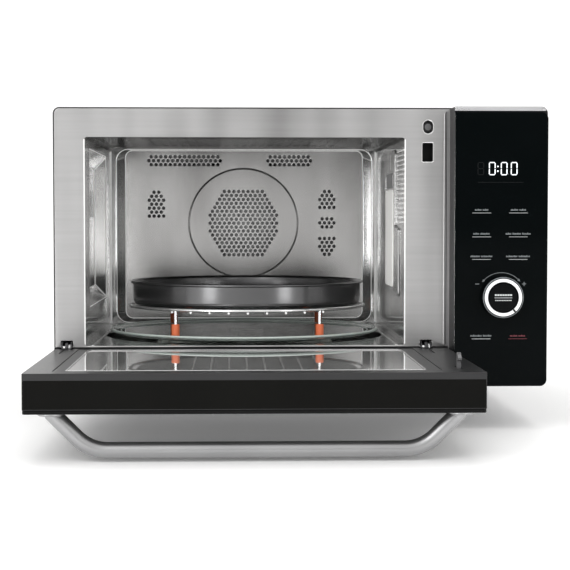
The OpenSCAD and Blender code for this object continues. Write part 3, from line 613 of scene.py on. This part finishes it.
def ceiling():
    """The ceiling, with a round fold down to each side wall, in darker steel that paints in its shade."""
    x0, x1 = CAVITY
    r = CEILING - WALL_TOP
    steps = [math.radians(15 * k) for k in range(7)]
    arc = [(r * math.sin(a), r * (1 - math.cos(a))) for a in steps]
    section = [(x0, WALL_TOP)] + [(x0 + r - dx, CEILING - dz) for dx, dz in reversed(arc)]
    section += [(x1 - r + dx, CEILING - dz) for dx, dz in arc] + [(x1, WALL_TOP)]
    bm = bmesh.new()
    rows = [[bm.verts.new((x, y, z)) for x, z in section] for y in (CAVITY_FRONT, BACK_STEP)]
    for i in range(len(section) - 1):
        bm.faces.new((rows[0][i], rows[0][i + 1], rows[1][i + 1], rows[1][i]))
    put(bm, "ceiling", "oven", SHADED_CEILING_STEEL, doubles=0.01, sheet=0.6)


def well(d):
    """The turntable well's outline, grown by d: a circle cut short at the front."""
    y_front, r = 42, 164
    return [(x, max(y, y_front - d)) for x, y in ring(AXIS_X, AXIS_Y, r, 160)(d)]


def floor_ledge():
    """The floor at the sill's height, the round well sunk into it, and a rib along each side."""
    x0, x1 = CAVITY
    # The floor and its well are in darker steel: painted shade.
    bm = plate(rounded(x0, CAVITY_FRONT, x1, BACK_WALL, 0.01), [well], 0.7, flat(SILL), 0.2)
    put(bm, "floor_ledge", "oven", SHADED_FLOOR_STEEL)
    drop = [(0.2, 0.3), (-0.5, 0.9), (-0.8, 2.2), (-1.2, 10.6), (-1.8, 12.2), (-3.4, 13.0)]
    bm = nested([(well(d), w) for d, w in drop], flat(SILL))
    put(bm, "turntable_well", "oven", SHADED_FLOOR_STEEL, sheet=0.6)
    for name, x in (("left_rib", x0 + 8), ("right_rib", x1 - 8)):
        bm = sweep([(x, y, SILL - 0.8) for y in (8, 170, 330)], 1.8, 20)
        put(bm, name, "oven", CAVITY_STEEL)


def staggered(counts, x, z_top):
    """Centres of air holes in rows of the given counts, each row centred on x."""
    for i, count in enumerate(counts):
        for j in range(count):
            yield x + (j - (count - 1) / 2) * HOLE_PITCH, z_top - i * HOLE_ROW


def back_wall():
    """The stepped back wall with its air holes and the pressed circle round the fan."""
    x0, x1 = CAVITY
    step_y, wall_y = BACK_STEP, BACK_WALL
    left, right, low, top = -208.7, 98.1, 47.0, 263.5
    # The step's slope: how far out to the sides, down and up, corner radius, and depth.
    slope = [
        (13, 5.5, 1.6, 15, step_y), (12, 5, 1.5, 15, step_y - 0.5), (11, 4.6, 1.4, 15, step_y - 0.3),
        (10, 4.2, 1.3, 15, step_y + 0.6), (2.2, 1.4, 0.7, 11, wall_y - 1.6),
        (0.9, 0.5, 0.3, 10, wall_y - 0.4), (0, 0, 0, 9, wall_y),
    ]
    loops = [(rounded(x0, SILL, x1, CEILING, 0.01)(), step_y)]
    for side, down, up, r, y in slope:
        loops.append((rounded(left - side, low - down, right + side, top + up, r)(), y))
    bm = nested(loops, upright(0), fill=False)
    put(bm, "back_step", "oven", CAVITY_STEEL, sheet=0.6)
    # Glowing lines round the panel and the step and down the back corners: painted highlights.
    bm = bmesh.new()
    rims = (
        (rounded(left, low, right, top, 9), wall_y - 0.3),
        (rounded(left - 11, low - 5, right + 11, top + 1.4, 15), step_y - 0.3),
    )
    for rim, y in rims:
        sweep([(x, y, z) for x, z in rim()], 0.55, 10, closed=True, bm=bm)
    for x in (x0 + 0.6, x1 - 0.6):
        sweep([(x, step_y - 0.6, z) for z in (SILL + 2, 150, 262)], 0.9, 12, bm=bm)
    put(bm, "back_edge_highlights", "oven", EDGE_HIGHLIGHT)
    fan_rows = [9, 10, 11, 12, 13, 14, 15, 14, 15, 14, 15, 14, 13, 12, 11, 10, 9]
    # Each group: holes in each row, the group's middle, and its top row's height.
    groups = [
        (fan_rows, AXIS_X, FAN_Z + 8 * HOLE_ROW),
        ([15, 16, 15], AXIS_X - 76, 256), ([9, 10, 9], AXIS_X + 59.5, 256),
        ([2, 3, 4, 3, 4, 3, 4], AXIS_X - 112.5, 210), ([2, 3, 4, 3, 4], AXIS_X + 108.5, 211),
        ([3, 4, 3], AXIS_X + 108.5, 175.5), ([4, 3, 4, 3, 2], AXIS_X + 108.5, 150),
        ([15, 16, 15], AXIS_X - 76, 96), ([14, 15, 14], AXIS_X + 76, 96),
    ]
    inside, outside = [], []
    for counts, x, z in groups:
        target = inside if counts is fan_rows else outside
        target += [ring(hx, hz, 2.15, 14) for hx, hz in staggered(counts, x, z)]
    bead_r = 70.5
    disc = ring(AXIS_X, FAN_Z, bead_r + 1.1, 128)
    bm = plate(rounded(left, low, right, top, 9), outside + [disc], 0.7, upright(wall_y), 0.25)
    plate(ring(AXIS_X, FAN_Z, bead_r - 1.1, 128), inside, 0.7, upright(wall_y), 0.25, bm)
    bead = [(1.15, 0.3), (0.8, -0.15), (0.4, -0.65), (0, -0.8), (-0.4, -0.65), (-0.8, -0.15)]
    bead += [(-1.15, 0.3), (0, 0.6), (1.15, 0.3)]
    lathe([(bead_r + d, wall_y + h) for d, h in bead], (AXIS_X, 0, FAN_Z), "Y", 128, bm)
    put(bm, "back_sheet", "oven", BACK_STEEL, ("cavity_back_wall",), doubles=0.001)


def right_wall():
    """The right wall with its lamp and air holes, a raised pad behind them, and the mica sheet."""
    x1 = CAVITY[1]
    holes = [ring(y, z, 1.75, 8) for y, z in staggered([13 - i % 2 for i in range(16)], 46, 249.5)]
    bm = plate(rounded(CAVITY_FRONT, SILL, BACK_STEP, WALL_TOP, 0.01), holes, 0.7, sideways(x1), 0.2)
    put(bm, "right_wall", "oven", CAVITY_STEEL)
    shape = [(58, 90), (130, 90), (130, 108), (192, 108), (192, 230), (140, 230), (140, 253), (92, 253)]
    shape += [(92, 166), (58, 166)]
    pad = corners(shape, 5)
    loops = [(pad(1.6), -0.2), (pad(1.0), 0.1), (pad(0), 0.7), (pad(-1.0), 1.2), (pad(-2.0), 1.3)]
    bm = nested(loops, sideways(x1, -1))
    put(bm, "right_pad", "oven", CAVITY_STEEL)
    # A bright bead along the pad's fold: a painted highlight line.
    bm = sweep([(x1 - 1.1, y, z) for y, z in pad(-0.6)], 0.45, 10, closed=True)
    put(bm, "pad_edge", "oven", BRIGHT_WIRE_AND_HIGHLIGHT)
    # The mica sheet glows faintly: painted light.
    bm = plate(rounded(112, 98, 191, 209, 4), [], 0.8, sideways(x1 - 1.9), 0.3)
    put(bm, "mica_sheet", "oven", MICA, ("mica_cover",))
    # A dark sheet in the slot's opening: painted shade.
    bm = plate(rounded(52, 90, 55, 136, 1.4), [], 0.3, sideways(x1 - 0.3), 0.1)
    put(bm, "side_slot_shade", "oven", DARK_STEEL)
    bm = plate(rounded(118, 211, 184, 228, 3), [], 0.4, sideways(x1 - 1.6), 0.15)
    put(bm, "side_patch", "oven", DULL_STEEL)


# ---------------- turntable, rack and pan
def turntable():
    """The glass plate with glowing rim lines as painted highlights, and the parts that turn it."""
    r = (PLATE[1].x - PLATE[0].x) / 2
    z0, z1 = PLATE[0].z, PLATE[1].z
    t = 4.0
    profile = [(0, z0), (r - 24, z0), (r - 20, z0 + 0.2), (r - 8, z0 + 1.4), (r - 4, z0 + 2.2)]
    profile += [(r - 1.2, z0 + 3.6), (r, z1 - 3), (r - 0.3, z1 - 1.2), (r - 1.6, z1), (r - 3.4, z1 - 0.1)]
    profile += [(r - 5, z1 - 1.4), (r - 9, z0 + t + 0.4), (r - 13, z0 + t), (r - 24, z0 + t - 0.4)]
    profile.append((0, z0 + t - 0.4))
    put(lathe(profile, (AXIS_X, AXIS_Y, 0), n=160), "turntable_plate", "turntable", PLATE_GLASS,
        ("turntable_glass",))
    bm = sweep(level_circle(AXIS_X, r - 1.6, 160, z1 - 1.4), 1.3, 12, closed=True)
    sweep(level_circle(AXIS_X, r - 12, 160, z0 + t + 0.3), 0.5, 10, closed=True, bm=bm)
    put(bm, "plate_rim_highlights", "turntable", RIM_HIGHLIGHT)
    softened("turntable_coupler", "turntable", WHITE_PLASTIC, 0.5)
    softened("roller_ring", "roller_carrier", WHITE_PLASTIC, 0.5)
    for number, body in ((1, "roller_a"), (2, "roller_b"), (3, "roller_c")):
        softened(f"roller_{number}", body, WHITE_PLASTIC, 0.5)


def rack():
    """The wire rack on four legs, each with a silicone sleeve."""
    top = RACK[1].z - 2
    r = (RACK[1].x - RACK[0].x) / 2 - 2
    bm = sweep(level_circle(RACK_X, r, 160, top), 2.0, 16, closed=True)
    wire_gap = 21
    for i in range(-4, 5):
        x = i * wire_gap
        reach = math.sqrt(r * r - x * x) + 1.4
        path = [(RACK_X + x, AXIS_Y + s * reach, top - 2.7) for s in (-1, -0.5, 0, 0.5, 1)]
        sweep(path, 1.5, 14, bm=bm)
    for dx, dy in LEGS:
        path = [(RACK_X + dx, AXIS_Y + dy, z) for z in (RACK[0].z + 0.5, RACK[0].z + 12, top)]
        sweep(path, 1.8, 16, bm=bm)
    put(bm, "rack_wires", "rack", BRIGHT_WIRE_AND_HIGHLIGHT, ("wire_rack",))
    low = span("rack_sleeves")[0].z
    bm = bmesh.new()
    profile = [(0, low), (3.6, low), (4.2, low + 0.3), (4.5, low + 1), (4.5, low + 12.6), (4.2, low + 13.3)]
    profile += [(3.6, low + 13.6), (2.1, low + 13.6), (1.82, low + 13.2), (1.82, low + 2.0), (0, low + 2.0)]
    for dx, dy in LEGS:
        lathe(profile, (RACK_X + dx, AXIS_Y + dy, 0), n=32, bm=bm)
    put(bm, "sleeves", "rack", SILICONE, ("rack_sleeves",))


def pan():
    """A pan with an upright wall, a rounded bottom edge and a rolled rim."""
    r = (PAN[1].x - PAN[0].x) / 2
    z0, z1 = PAN[0].z, PAN[1].z
    wall, bend, t = r - 3.4, 9.0, 1.5
    lower = [math.radians(90 * k / 8) for k in range(9)]
    profile = [(0, z0)]
    profile += [(wall - bend + bend * math.sin(a), z0 + bend - bend * math.cos(a)) for a in lower]
    profile += [(wall, z0 + 16), (wall + 0.1, z1 - 3.4)]
    for k in range(11):
        a = math.radians(-80 + 24 * k)
        profile.append((r - 1.8 + 1.7 * math.cos(a), z1 - 1.8 + 1.7 * math.sin(a)))
    inner = bend - t
    profile += [(wall - t, z1 - 3.8), (wall - t, z0 + 16)]
    profile += [(wall - bend + inner * math.sin(a), z0 + bend - inner * math.cos(a)) for a in reversed(lower)]
    profile += [(0, z0 + t)]
    centre = ((PAN[0].x + PAN[1].x) / 2, AXIS_Y, 0)
    put(lathe(profile, centre, n=200), "pan_body", "pan", NON_STICK, ("baking_pan",))


# ---------------- door
def on_door(u, v, w):
    """Door loops: u across, v from the hinge to the free edge, w out of the inner face, which faces up."""
    return (u, -v, HINGE_Z - w)


def on_door_at(depth):
    """Door loops that start this far behind the inner face."""
    return lambda u, v, w: on_door(u, v, depth + w)


def door():
    """The door's frame, its front glass and the dark band along its free edge."""
    x0, x1 = DOOR[0].x, DOOR[1].x
    tail, reach = DOOR[1].y, -DOOR[0].y
    face, back = HINGE_Z - DOOR[1].z, HINGE_Z - DOOR[0].z
    glass_back = HINGE_Z - DOOR_GLASS[0].z
    softened("door_bezel", "door", INNER_GREY, 0.6, segments=3)
    bm = plate(rounded(x0, -tail, x1, reach, 2.5), [], glass_back - back, on_door_at(back), 0.8)
    put(bm, "door_front_glass", "door", OUTER_GLASS, ("outer_glass",))
    proud = 0.04
    low, high = HINGE_Z - back + 0.4, HINGE_Z - face - 6.2
    bm = block((x0 + 0.5, -reach - proud, low), (x1 - 0.5, -reach + 1, high), 0.3)
    put(bm, "door_edge_band", "door", DOOR_BLACK)


def door_inside():
    gx0, gx1 = INNER[0].x, INNER[1].x
    gv0, gv1 = -INNER[1].y, -INNER[0].y
    glass_w = HINGE_Z - INNER[1].z
    bm = plate(rounded(gx0, gv0, gx1, gv1, 3), [], 4.0, on_door_at(glass_w), 0.6)
    put(bm, "door_inner_glass", "door", MIRROR_GLASS, ("inner_glass",))
    softened("glass_trim", "door", BRIGHT_WIRE_AND_HIGHLIGHT, 0.3)
    softened("choke_cover", "door", INNER_GREY, 0.3)


def handle():
    """A bar with two 45 degree bends that runs down to flanges on the door's face."""
    v = -(HANDLE[0].y + HANDLE[1].y) / 2
    radius, flange_r = 7.5, 12
    centre = (HANDLE[0].x + HANDLE[1].x) / 2
    half = (HANDLE[1].x - HANDLE[0].x) / 2 - flange_r
    out = 35.0
    base = HINGE_Z - DOOR_GLASS[0].z
    bend = 40.0
    drop = out - bend * (1 - math.cos(math.pi / 4))
    straight = half - bend * math.sin(math.pi / 4) - drop
    side = [(half - 1.0, 1.0), (half - drop, drop)]
    for k in range(1, 13):
        a = math.radians(45 + 45 * k / 12)
        side.append((straight + bend * math.cos(a), out - bend + bend * math.sin(a)))
    side += [(straight - 30, out), (straight * 0.4, out)]
    path = side + [(-p, q) for p, q in reversed(side)]
    bm = sweep([on_door(centre + p, v, base + q) for p, q in path], radius, 32)
    for s in (-1, 1):
        rim = [(flange_r - 0.6, 0), (flange_r, -0.6), (flange_r, -2.2), (flange_r - 0.8, -3)]
        flange = [(r, HINGE_Z - base + h) for r, h in [(0, 0)] + rim + [(0, -3)]]
        lathe(flange, (centre + s * half, -v, 0), n=48, bm=bm)
    put(bm, "handle_bar", "door", HANDLE_METAL, ("handle",))


def door_fittings():
    softened("latch_hook", "latch", GREY_PLASTIC, 0.4)
    softened("hinge_arms", "door", DARK_STEEL, 0.25)
    softened("hinge_brackets", "oven", DARK_STEEL, 0.2)
    softened("interlock_bracket", "oven", PANEL_BLACK, 0.3)
    low, high = span("door_plunger")
    x, z, y = (low.x + high.x) / 2, (low.z + high.z) / 2, low.y
    profile = [(0, y), (1.6, y), (1.9, y + 0.4), (3.6, y + 0.6), (4.6, y + 1.2), (5, y + 2.4)]
    profile += [(5, high.y), (0, high.y)]
    bm = lathe(profile, (x, 0, z), "Y", 40)
    put(bm, "plunger_pin", "sensor", GREY_PLASTIC, ("door_plunger",))
    collar = [(3.3, y + 0.75), (3.7, y + 0.45), (4.8, y + 1.05), (5.1, y + 2.4)]
    collar += [(4.9, y + 2.6), (3.3, y + 2.6)]
    bm = lathe(collar + collar[:1], (x, 0, z), "Y", 40)
    put(bm, "plunger_collar", "sensor", DARK_STEEL, doubles=0.001)


# ---------------- control panel
def panel_mark(bm, x0, z0, x1, z1, proud=0.08, r=None):
    """A thin printed mark on the panel's glass."""
    radius = r if r is not None else min(x1 - x0, z1 - z0) * 0.3
    plate(rounded(x0, z0, x1, z1, radius, 3), [], PRINT, upright(PANEL[0].y - proud), 0.02, bm)


def print_shape(bm, points, y):
    """A printed shape with straight sides, its face at depth y."""
    near, far = [[bm.verts.new((x, y + back, z)) for x, z in points] for back in (0, PRINT)]
    bm.faces.new(near)
    bm.faces.new(far[::-1])
    bridge(bm, near, far)


def segment(bm, x0, z0, x1, z1, t):
    """One bar of a digit, with pointed ends."""
    length = math.hypot(x1 - x0, z1 - z0)
    ux, uz = (x1 - x0) / length, (z1 - z0) / length
    vx, vz = -uz, ux
    half = t / 2
    shape = [(0, 0), (half, half), (length - half, half), (length, 0), (length - half, -half), (half, -half)]
    points = [(x0 + a * ux + b * vx, z0 + a * uz + b * vz) for a, b in shape]
    print_shape(bm, points, PANEL[0].y - 0.1)


def digit(bm, x, z, w, h, t, bars="abcdef"):
    """A seven-bar digit with its lower left corner at x, z."""
    gap = 0.25
    ends = {
        "a": ((0, h), (w, h)), "b": ((w, h), (w, h / 2)), "c": ((w, h / 2), (w, 0)), "d": ((0, 0), (w, 0)),
        "e": ((0, 0), (0, h / 2)), "f": ((0, h / 2), (0, h)), "g": ((0, h / 2), (w, h / 2)),
    }
    for bar in bars:
        (ax, az), (bx, bz) = ends[bar]
        dx, dz = bx - ax, bz - az
        length = math.hypot(dx, dz)
        ux, uz = dx / length * gap, dz / length * gap
        segment(bm, x + ax + ux, z + az + uz, x + bx - ux, z + bz - uz, t)


def control_panel():
    x0, x1 = PANEL[0].x, PANEL[1].x
    y0 = PANEL[0].y
    top = PANEL[1].z
    r = 7.0
    softened("control_housing", "oven", PANEL_BLACK, 0.4)
    bm = plate(rounded(x0, 0, x1, top, (r, r, 0.3, 0.3), 10), [ring(DIAL_X, DIAL_Z, 9, 48)], PANEL[1].y - y0,
               upright(y0), 0.35)
    put(bm, "panel_front_glass", "oven", PANEL_GLASS, ("control_glass",))
    bm = plate(rounded(x0, top + 1.4, x1 - 2.5, TRIM[1].z, (0.3, 4, 0.5, 0.3), 10), [], PANEL[1].y - y0,
               upright(y0), 0.5)
    put(bm, "panel_top_trim", "oven", TRIM_METAL, ("panel_trim",))
    bm = block((x0 + 0.05, y0 + 0.02, 3), (x0 + 1.0, y0 + 2, top - 1), 0.3)
    put(bm, "panel_edge_strip", "oven", BRIGHT_WIRE_AND_HIGHLIGHT)


def panel_print():
    """Key marks, and the dial's arc and signs."""
    bm = bmesh.new()
    grey = bmesh.new()
    left, right, half = 190.4, 229.0, 9.8
    # Key rows: height, and the lengths of the left and the right key's words.
    words = {182.0: ((7, 6), (8, 7)), 157.0: ((6, 10), (6, 9, 9)), 133.4: ((10, 12), (12, 12))}
    for z, pair in words.items():
        for x, lengths in zip((left, right), pair):
            panel_mark(bm, x - half, z - 0.16, x + half, z + 0.16)
            label(grey, x, z + 2.4, lengths, 1.9)
    panel_mark(bm, left - half, 49.8, left + half, 50.2)
    label(grey, left, 52.4, (12, 9), 2.0)
    put(bm, "key_lines", "oven", PRINT_WHITE)
    red = bmesh.new()
    panel_mark(red, right - half, 49.8, right + half, 50.2)
    label(red, right, 52.4, (8, 7), 1.7)
    put(red, "stop_key_mark", "oven", PRINT_RED)
    arc_r = 25.5
    steps = [math.radians(44 + 94 * k / 40) for k in range(41)]
    y = PANEL[0].y - 0.08
    outer, inner = [[(DIAL_X + r * math.cos(a), DIAL_Z + r * math.sin(a)) for a in steps]
                    for r in (arc_r + 0.25, arc_r - 0.25)]
    loop = outer + inner[::-1]
    front, rear = [[grey.verts.new((x, y + back, z)) for x, z in loop] for back in (0, PRINT)]
    bridge(grey, front, rear)
    cap(grey, [front])
    cap(grey, [rear])
    for a, turn in ((steps[0], -1), (steps[-1], 1)):
        arrow_tip(grey, DIAL_X + arc_r * math.cos(a), DIAL_Z + arc_r * math.sin(a), a + turn * math.pi / 2, y)
    panel_mark(grey, DIAL_X - 27.6, DIAL_Z + 13.3, DIAL_X - 23.4, DIAL_Z + 14.0)
    panel_mark(grey, DIAL_X + 21.8, DIAL_Z + 13.3, DIAL_X + 26.0, DIAL_Z + 14.0)
    panel_mark(grey, DIAL_X + 23.55, DIAL_Z + 11.5, DIAL_X + 24.25, DIAL_Z + 15.8, proud=0.1)
    put(grey, "key_marks", "oven", GREY_PRINT_AND_HIGHLIGHT)


def label(bm, x, z, lengths, h):
    """A word's place on the panel, as rows of small plain ticks of uneven height."""
    left = x - (sum(lengths) + 1.2 * (len(lengths) - 1)) / 2
    for length in lengths:
        count = round(length / 1.3)
        step = length / count
        for i in range(count):
            tall = h * (0.62, 0.8, 0.7, 1.0)[(i * 3 + count) % 4]
            panel_mark(bm, left + i * step, z, left + (i + 0.66) * step, z + tall, r=0.15)
        left += length + 1.2


def arrow_tip(bm, x, z, a, y):
    """A small arrow head at x, z that points along angle a."""
    size = 1.7
    shape = [(size * 1.2, 0), (-size * 0.6, size * 0.75), (-size * 0.6, -size * 0.75)]
    c, s = math.cos(a), math.sin(a)
    points = [(x + p * c - q * s, z + p * s + q * c) for p, q in shape]
    print_shape(bm, points, y)


def clock():
    z, h, w, t = 221.9, 12.7, 6.0, 0.95
    bm = bmesh.new()
    for x in (198.1, 210.6, 221.1):
        digit(bm, x, z, w, h, t)
    for dz in (h * 0.3, h * 0.68):
        panel_mark(bm, 206.3, z + dz - 0.75, 207.8, z + dz + 0.75)
    put(bm, "clock_digits", "oven", DIGIT_WHITE)
    bm = bmesh.new()
    digit(bm, 186.2, z, w, h, t, "abcdefg")
    panel_mark(bm, 186, 213.6, 234, 214.3)
    put(bm, "clock_unlit", "oven", PRINT_FAINT)


def dial():
    """The dial with its white band and pointer, a grey line on its rounded edge as a painted highlight, and
    the centre button in it.
    """
    x, z = DIAL_X, DIAL_Z
    y0, r = DIAL[0].y, (DIAL[1].x - DIAL[0].x) / 2
    back = PANEL[0].y - 0.6
    cap_r = (CAP[1].x - CAP[0].x) / 2
    body = [(2.6, back + 11.6), (5, back + 11.6), (5, back), (r - 0.6, back), (r, back - 0.8)]
    body += [(r, y0 + 2.6), (r - 0.5, y0 + 1.1), (r - 1.4, y0 + 0.4), (20.0, y0 + 0.3), (19.7, y0 + 0.5)]
    body += [(16.4, y0 + 0.5), (16.1, y0 + 0.7), (cap_r + 0.3, y0 + 1.2), (cap_r + 0.3, y0 + 8.6)]
    body.append((2.6, y0 + 8.6))
    band = [(19.6, y0 + 0.55), (19.55, y0 + 0.15), (19.3, y0), (16.5, y0), (16.25, y0 + 0.15)]
    band.append((16.2, y0 + 0.55))
    line = [(r - 0.2, y0 + 1.3), (r - 0.5, y0 + 0.6), (r - 0.9, y0 + 0.5), (r - 0.9, y0 + 1.3)]
    # The band's faint glow is painted light, and the grey line on the dial's edge is a painted highlight.
    pieces = (("dial_body", body, DIAL_BLACK, ("dial",)), ("dial_band", band, RING_WHITE, ()),
              ("dial_edge_highlight", line, GREY_PRINT_AND_HIGHLIGHT, ()))
    for name, profile, material, replaced in pieces:
        bm = lathe(profile + profile[:1], (x, 0, z), "Y", 96)
        put(bm, name, "dial_knob", material, replaced, doubles=0.001)
    a = math.radians(-50)
    bm = block((-1.7, y0 - 0.06, -1.0), (1.7, y0 + 0.3, 1.0), 0.1)
    place = Matrix.Translation((x + 17.9 * math.cos(a), 0, z + 17.9 * math.sin(a)))
    bmesh.ops.transform(bm, matrix=place @ Matrix.Rotation(-a, 4, "Y"), verts=bm.verts)
    put(bm, "dial_pointer", "dial_knob", DIAL_BLACK)
    yc, stem = CAP[0].y, 2.5
    profile = [(0, yc + 0.1), (9, yc + 0.05), (13.5, yc), (cap_r - 0.7, yc + 0.1), (cap_r - 0.1, yc + 0.8)]
    profile += [(cap_r, yc + 1.6), (cap_r, yc + 5), (stem, yc + 5), (stem, CAP[1].y), (0, CAP[1].y)]
    bm = lathe(profile, (x, 0, z), "Y", 72)
    put(bm, "cap_button", "confirm_button", DIAL_BLACK, ("confirm_cap",))
    bm = bmesh.new()
    for up, half, h, count in ((2.6, 9.3, 1.7, 7), (-0.3, 9.3, 0.45, 1), (-3.0, 8.8, 0.9, 10)):
        width = 2 * half / count
        gap = width * 0.12 if count > 1 else 0
        low, high = z + up - h / 2, z + up + h / 2
        for i in range(count):
            left = x - half + i * width
            plate(rounded(left + gap, low, left + width - gap, high, 0.15, 3), [], 0.14,
                  upright(yc - 0.06), 0.02, bm)
    put(bm, "cap_marks", "confirm_button", PRINT_WHITE)


# ---------------- hidden works
def paint_rest():
    """Every CAD node that stays is given a procedural material."""
    looks = {
        "convection_duct": DULL_STEEL, "convection_heater": HEATER, "convection_motor": DULL_STEEL,
        "convection_fan": CASTING, "grill_reflector": DULL_STEEL, "grill_heater": HEATER,
        "grill_guard": SHADED_CEILING_STEEL, "waveguide": DULL_STEEL, "magnetron": CASTING,
        "transformer_core": DARK_STEEL, "transformer_coils": COPPER, "hv_capacitor": CASTING,
        "fan_shroud": PANEL_BLACK, "cooling_motor": DULL_STEEL, "cooling_fan": WHITE_PLASTIC,
        "oven_lamp": BULB_GLASS, "lamp_bracket": DULL_STEEL, "turntable_motor": DULL_STEEL,
        "hinge_pins": BRIGHT_WIRE_AND_HIGHLIGHT, "hinge_springs": BRIGHT_WIRE_AND_HIGHLIGHT, "door_screen": DARK_STEEL,
        "choke_frame": DULL_STEEL, "latch_pin": BRIGHT_WIRE_AND_HIGHLIGHT, "interlock_switches": PANEL_BLACK,
        "control_board": CIRCUIT, "fasteners": CASTING,
    }
    for name, material in looks.items():
        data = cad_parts[name].data
        data.materials.clear()
        data.materials.append(material)


# ---------------- camera, floor and light
def camera():
    data = bpy.data.cameras.new("camera")
    data.sensor_width = 36
    data.lens = 93.57
    made = placed("camera", data)
    eye = (-67.6, -1580.2, 177.2)
    yaw, pitch = 0.0338, 0.0455
    made.location = OVEN @ Vector(eye)
    ahead = Vector((math.sin(yaw) * math.cos(pitch), math.cos(yaw) * math.cos(pitch), -math.sin(pitch)))
    made.rotation_euler = ahead.to_track_quat("-Z", "Y").to_euler()
    bpy.context.scene.camera = made


def floor():
    """A pale floor that curves up into a backdrop."""
    bm = bmesh.new()
    reach, level_end, bend, top = 14, 2.6, 1.2, 6.0
    profile = [(-reach, 0), (level_end, 0)]
    for k in range(1, 13):
        a = math.radians(90 * k / 12)
        profile.append((level_end + bend * math.sin(a), bend * (1 - math.cos(a))))
    profile.append((level_end + bend, top))
    rows = [[bm.verts.new((x, y, z)) for y, z in profile] for x in (-reach, reach)]
    for i in range(len(profile) - 1):
        bm.faces.new((rows[0][i], rows[1][i], rows[1][i + 1], rows[0][i + 1]))
    mesh = bpy.data.meshes.new("floor")
    bm.to_mesh(mesh)
    bm.free()
    mesh.shade_smooth()
    made = placed("floor", mesh)
    material = shader("floor", Roughness=0.6, Specular_IOR_Level=0.2, Base_Color=(0.93, 0.93, 0.93, 1),
                      Emission_Color=(1, 1, 1, 1), Emission_Strength=0.13)[0]
    mesh.materials.append(material)


def area(name, where, target, size, power):
    """A softbox at a place, turned to a target, in metres and watts."""
    data = bpy.data.lights.new(name, "AREA")
    data.shape = "RECTANGLE"
    data.size, data.size_y = size
    data.energy = power
    made = placed(name, data)
    made.location = where
    made.rotation_euler = (Vector(target) - Vector(where)).to_track_quat("-Z", "Y").to_euler()


def lights():
    """Bright studio surroundings, dimmest low on the right in front, and seven softboxes."""
    world = bpy.data.worlds.new("studio")
    world.use_nodes = True
    tree = world.node_tree
    back = tree.nodes["Background"]
    where = node(tree, "ShaderNodeTexCoord")
    toward = node(tree, "ShaderNodeVectorMath", operation="DOT_PRODUCT")
    toward.inputs[1].default_value = Vector((0.28, -0.93, -0.22)).normalized()
    tree.links.new(where.outputs["Generated"], toward.inputs[0])
    fade = node(tree, "ShaderNodeMapRange", interpolation_type="SMOOTHSTEP")
    fade.inputs["From Min"].default_value = 1.0
    fade.inputs["From Max"].default_value = 0.55
    fade.inputs["To Min"].default_value = 0.40
    fade.inputs["To Max"].default_value = 1.05
    tree.links.new(toward.outputs["Value"], fade.inputs["Value"])
    tree.links.new(fade.outputs["Result"], back.inputs["Strength"])
    back.inputs["Color"].default_value = (1, 0.995, 0.985, 1)
    bpy.context.scene.world = world
    bpy.context.scene.view_settings.view_transform = "Standard"
    area("key", (-1.5, -2.2, 1.9), (0, 0, 0.15), (1.4, 1.0), 16)
    area("top", (0, 0.1, 2.4), (0, 0.1, 0), (1.8, 1.6), 14)
    area("front", (-0.5, -2.0, 0.6), (-0.05, 0.1, 0.15), (1.2, 0.8), 0.9)
    for name, x, power in (("corner_left", -0.72, 0.9), ("corner_right", 0.5, 0.6)):
        area(name, (x, -2.0, 0.76), (0, 0.1, 0.25), (0.35, 0.3), power)
    for name, x in (("strip_left", -1.5), ("strip_right", 1.4)):
        area(name, (x, -1.9, 0.12), (AXIS_X * MM, 0, 0.12), (0.5, 0.4), 5.0)


cabinet()
front_frame()
left_wall()
ceiling()
floor_ledge()
back_wall()
right_wall()
turntable()
rack()
pan()
door()
door_inside()
handle()
door_fittings()
control_panel()
panel_print()
clock()
dial()
paint_rest()
camera()
floor()
lights()
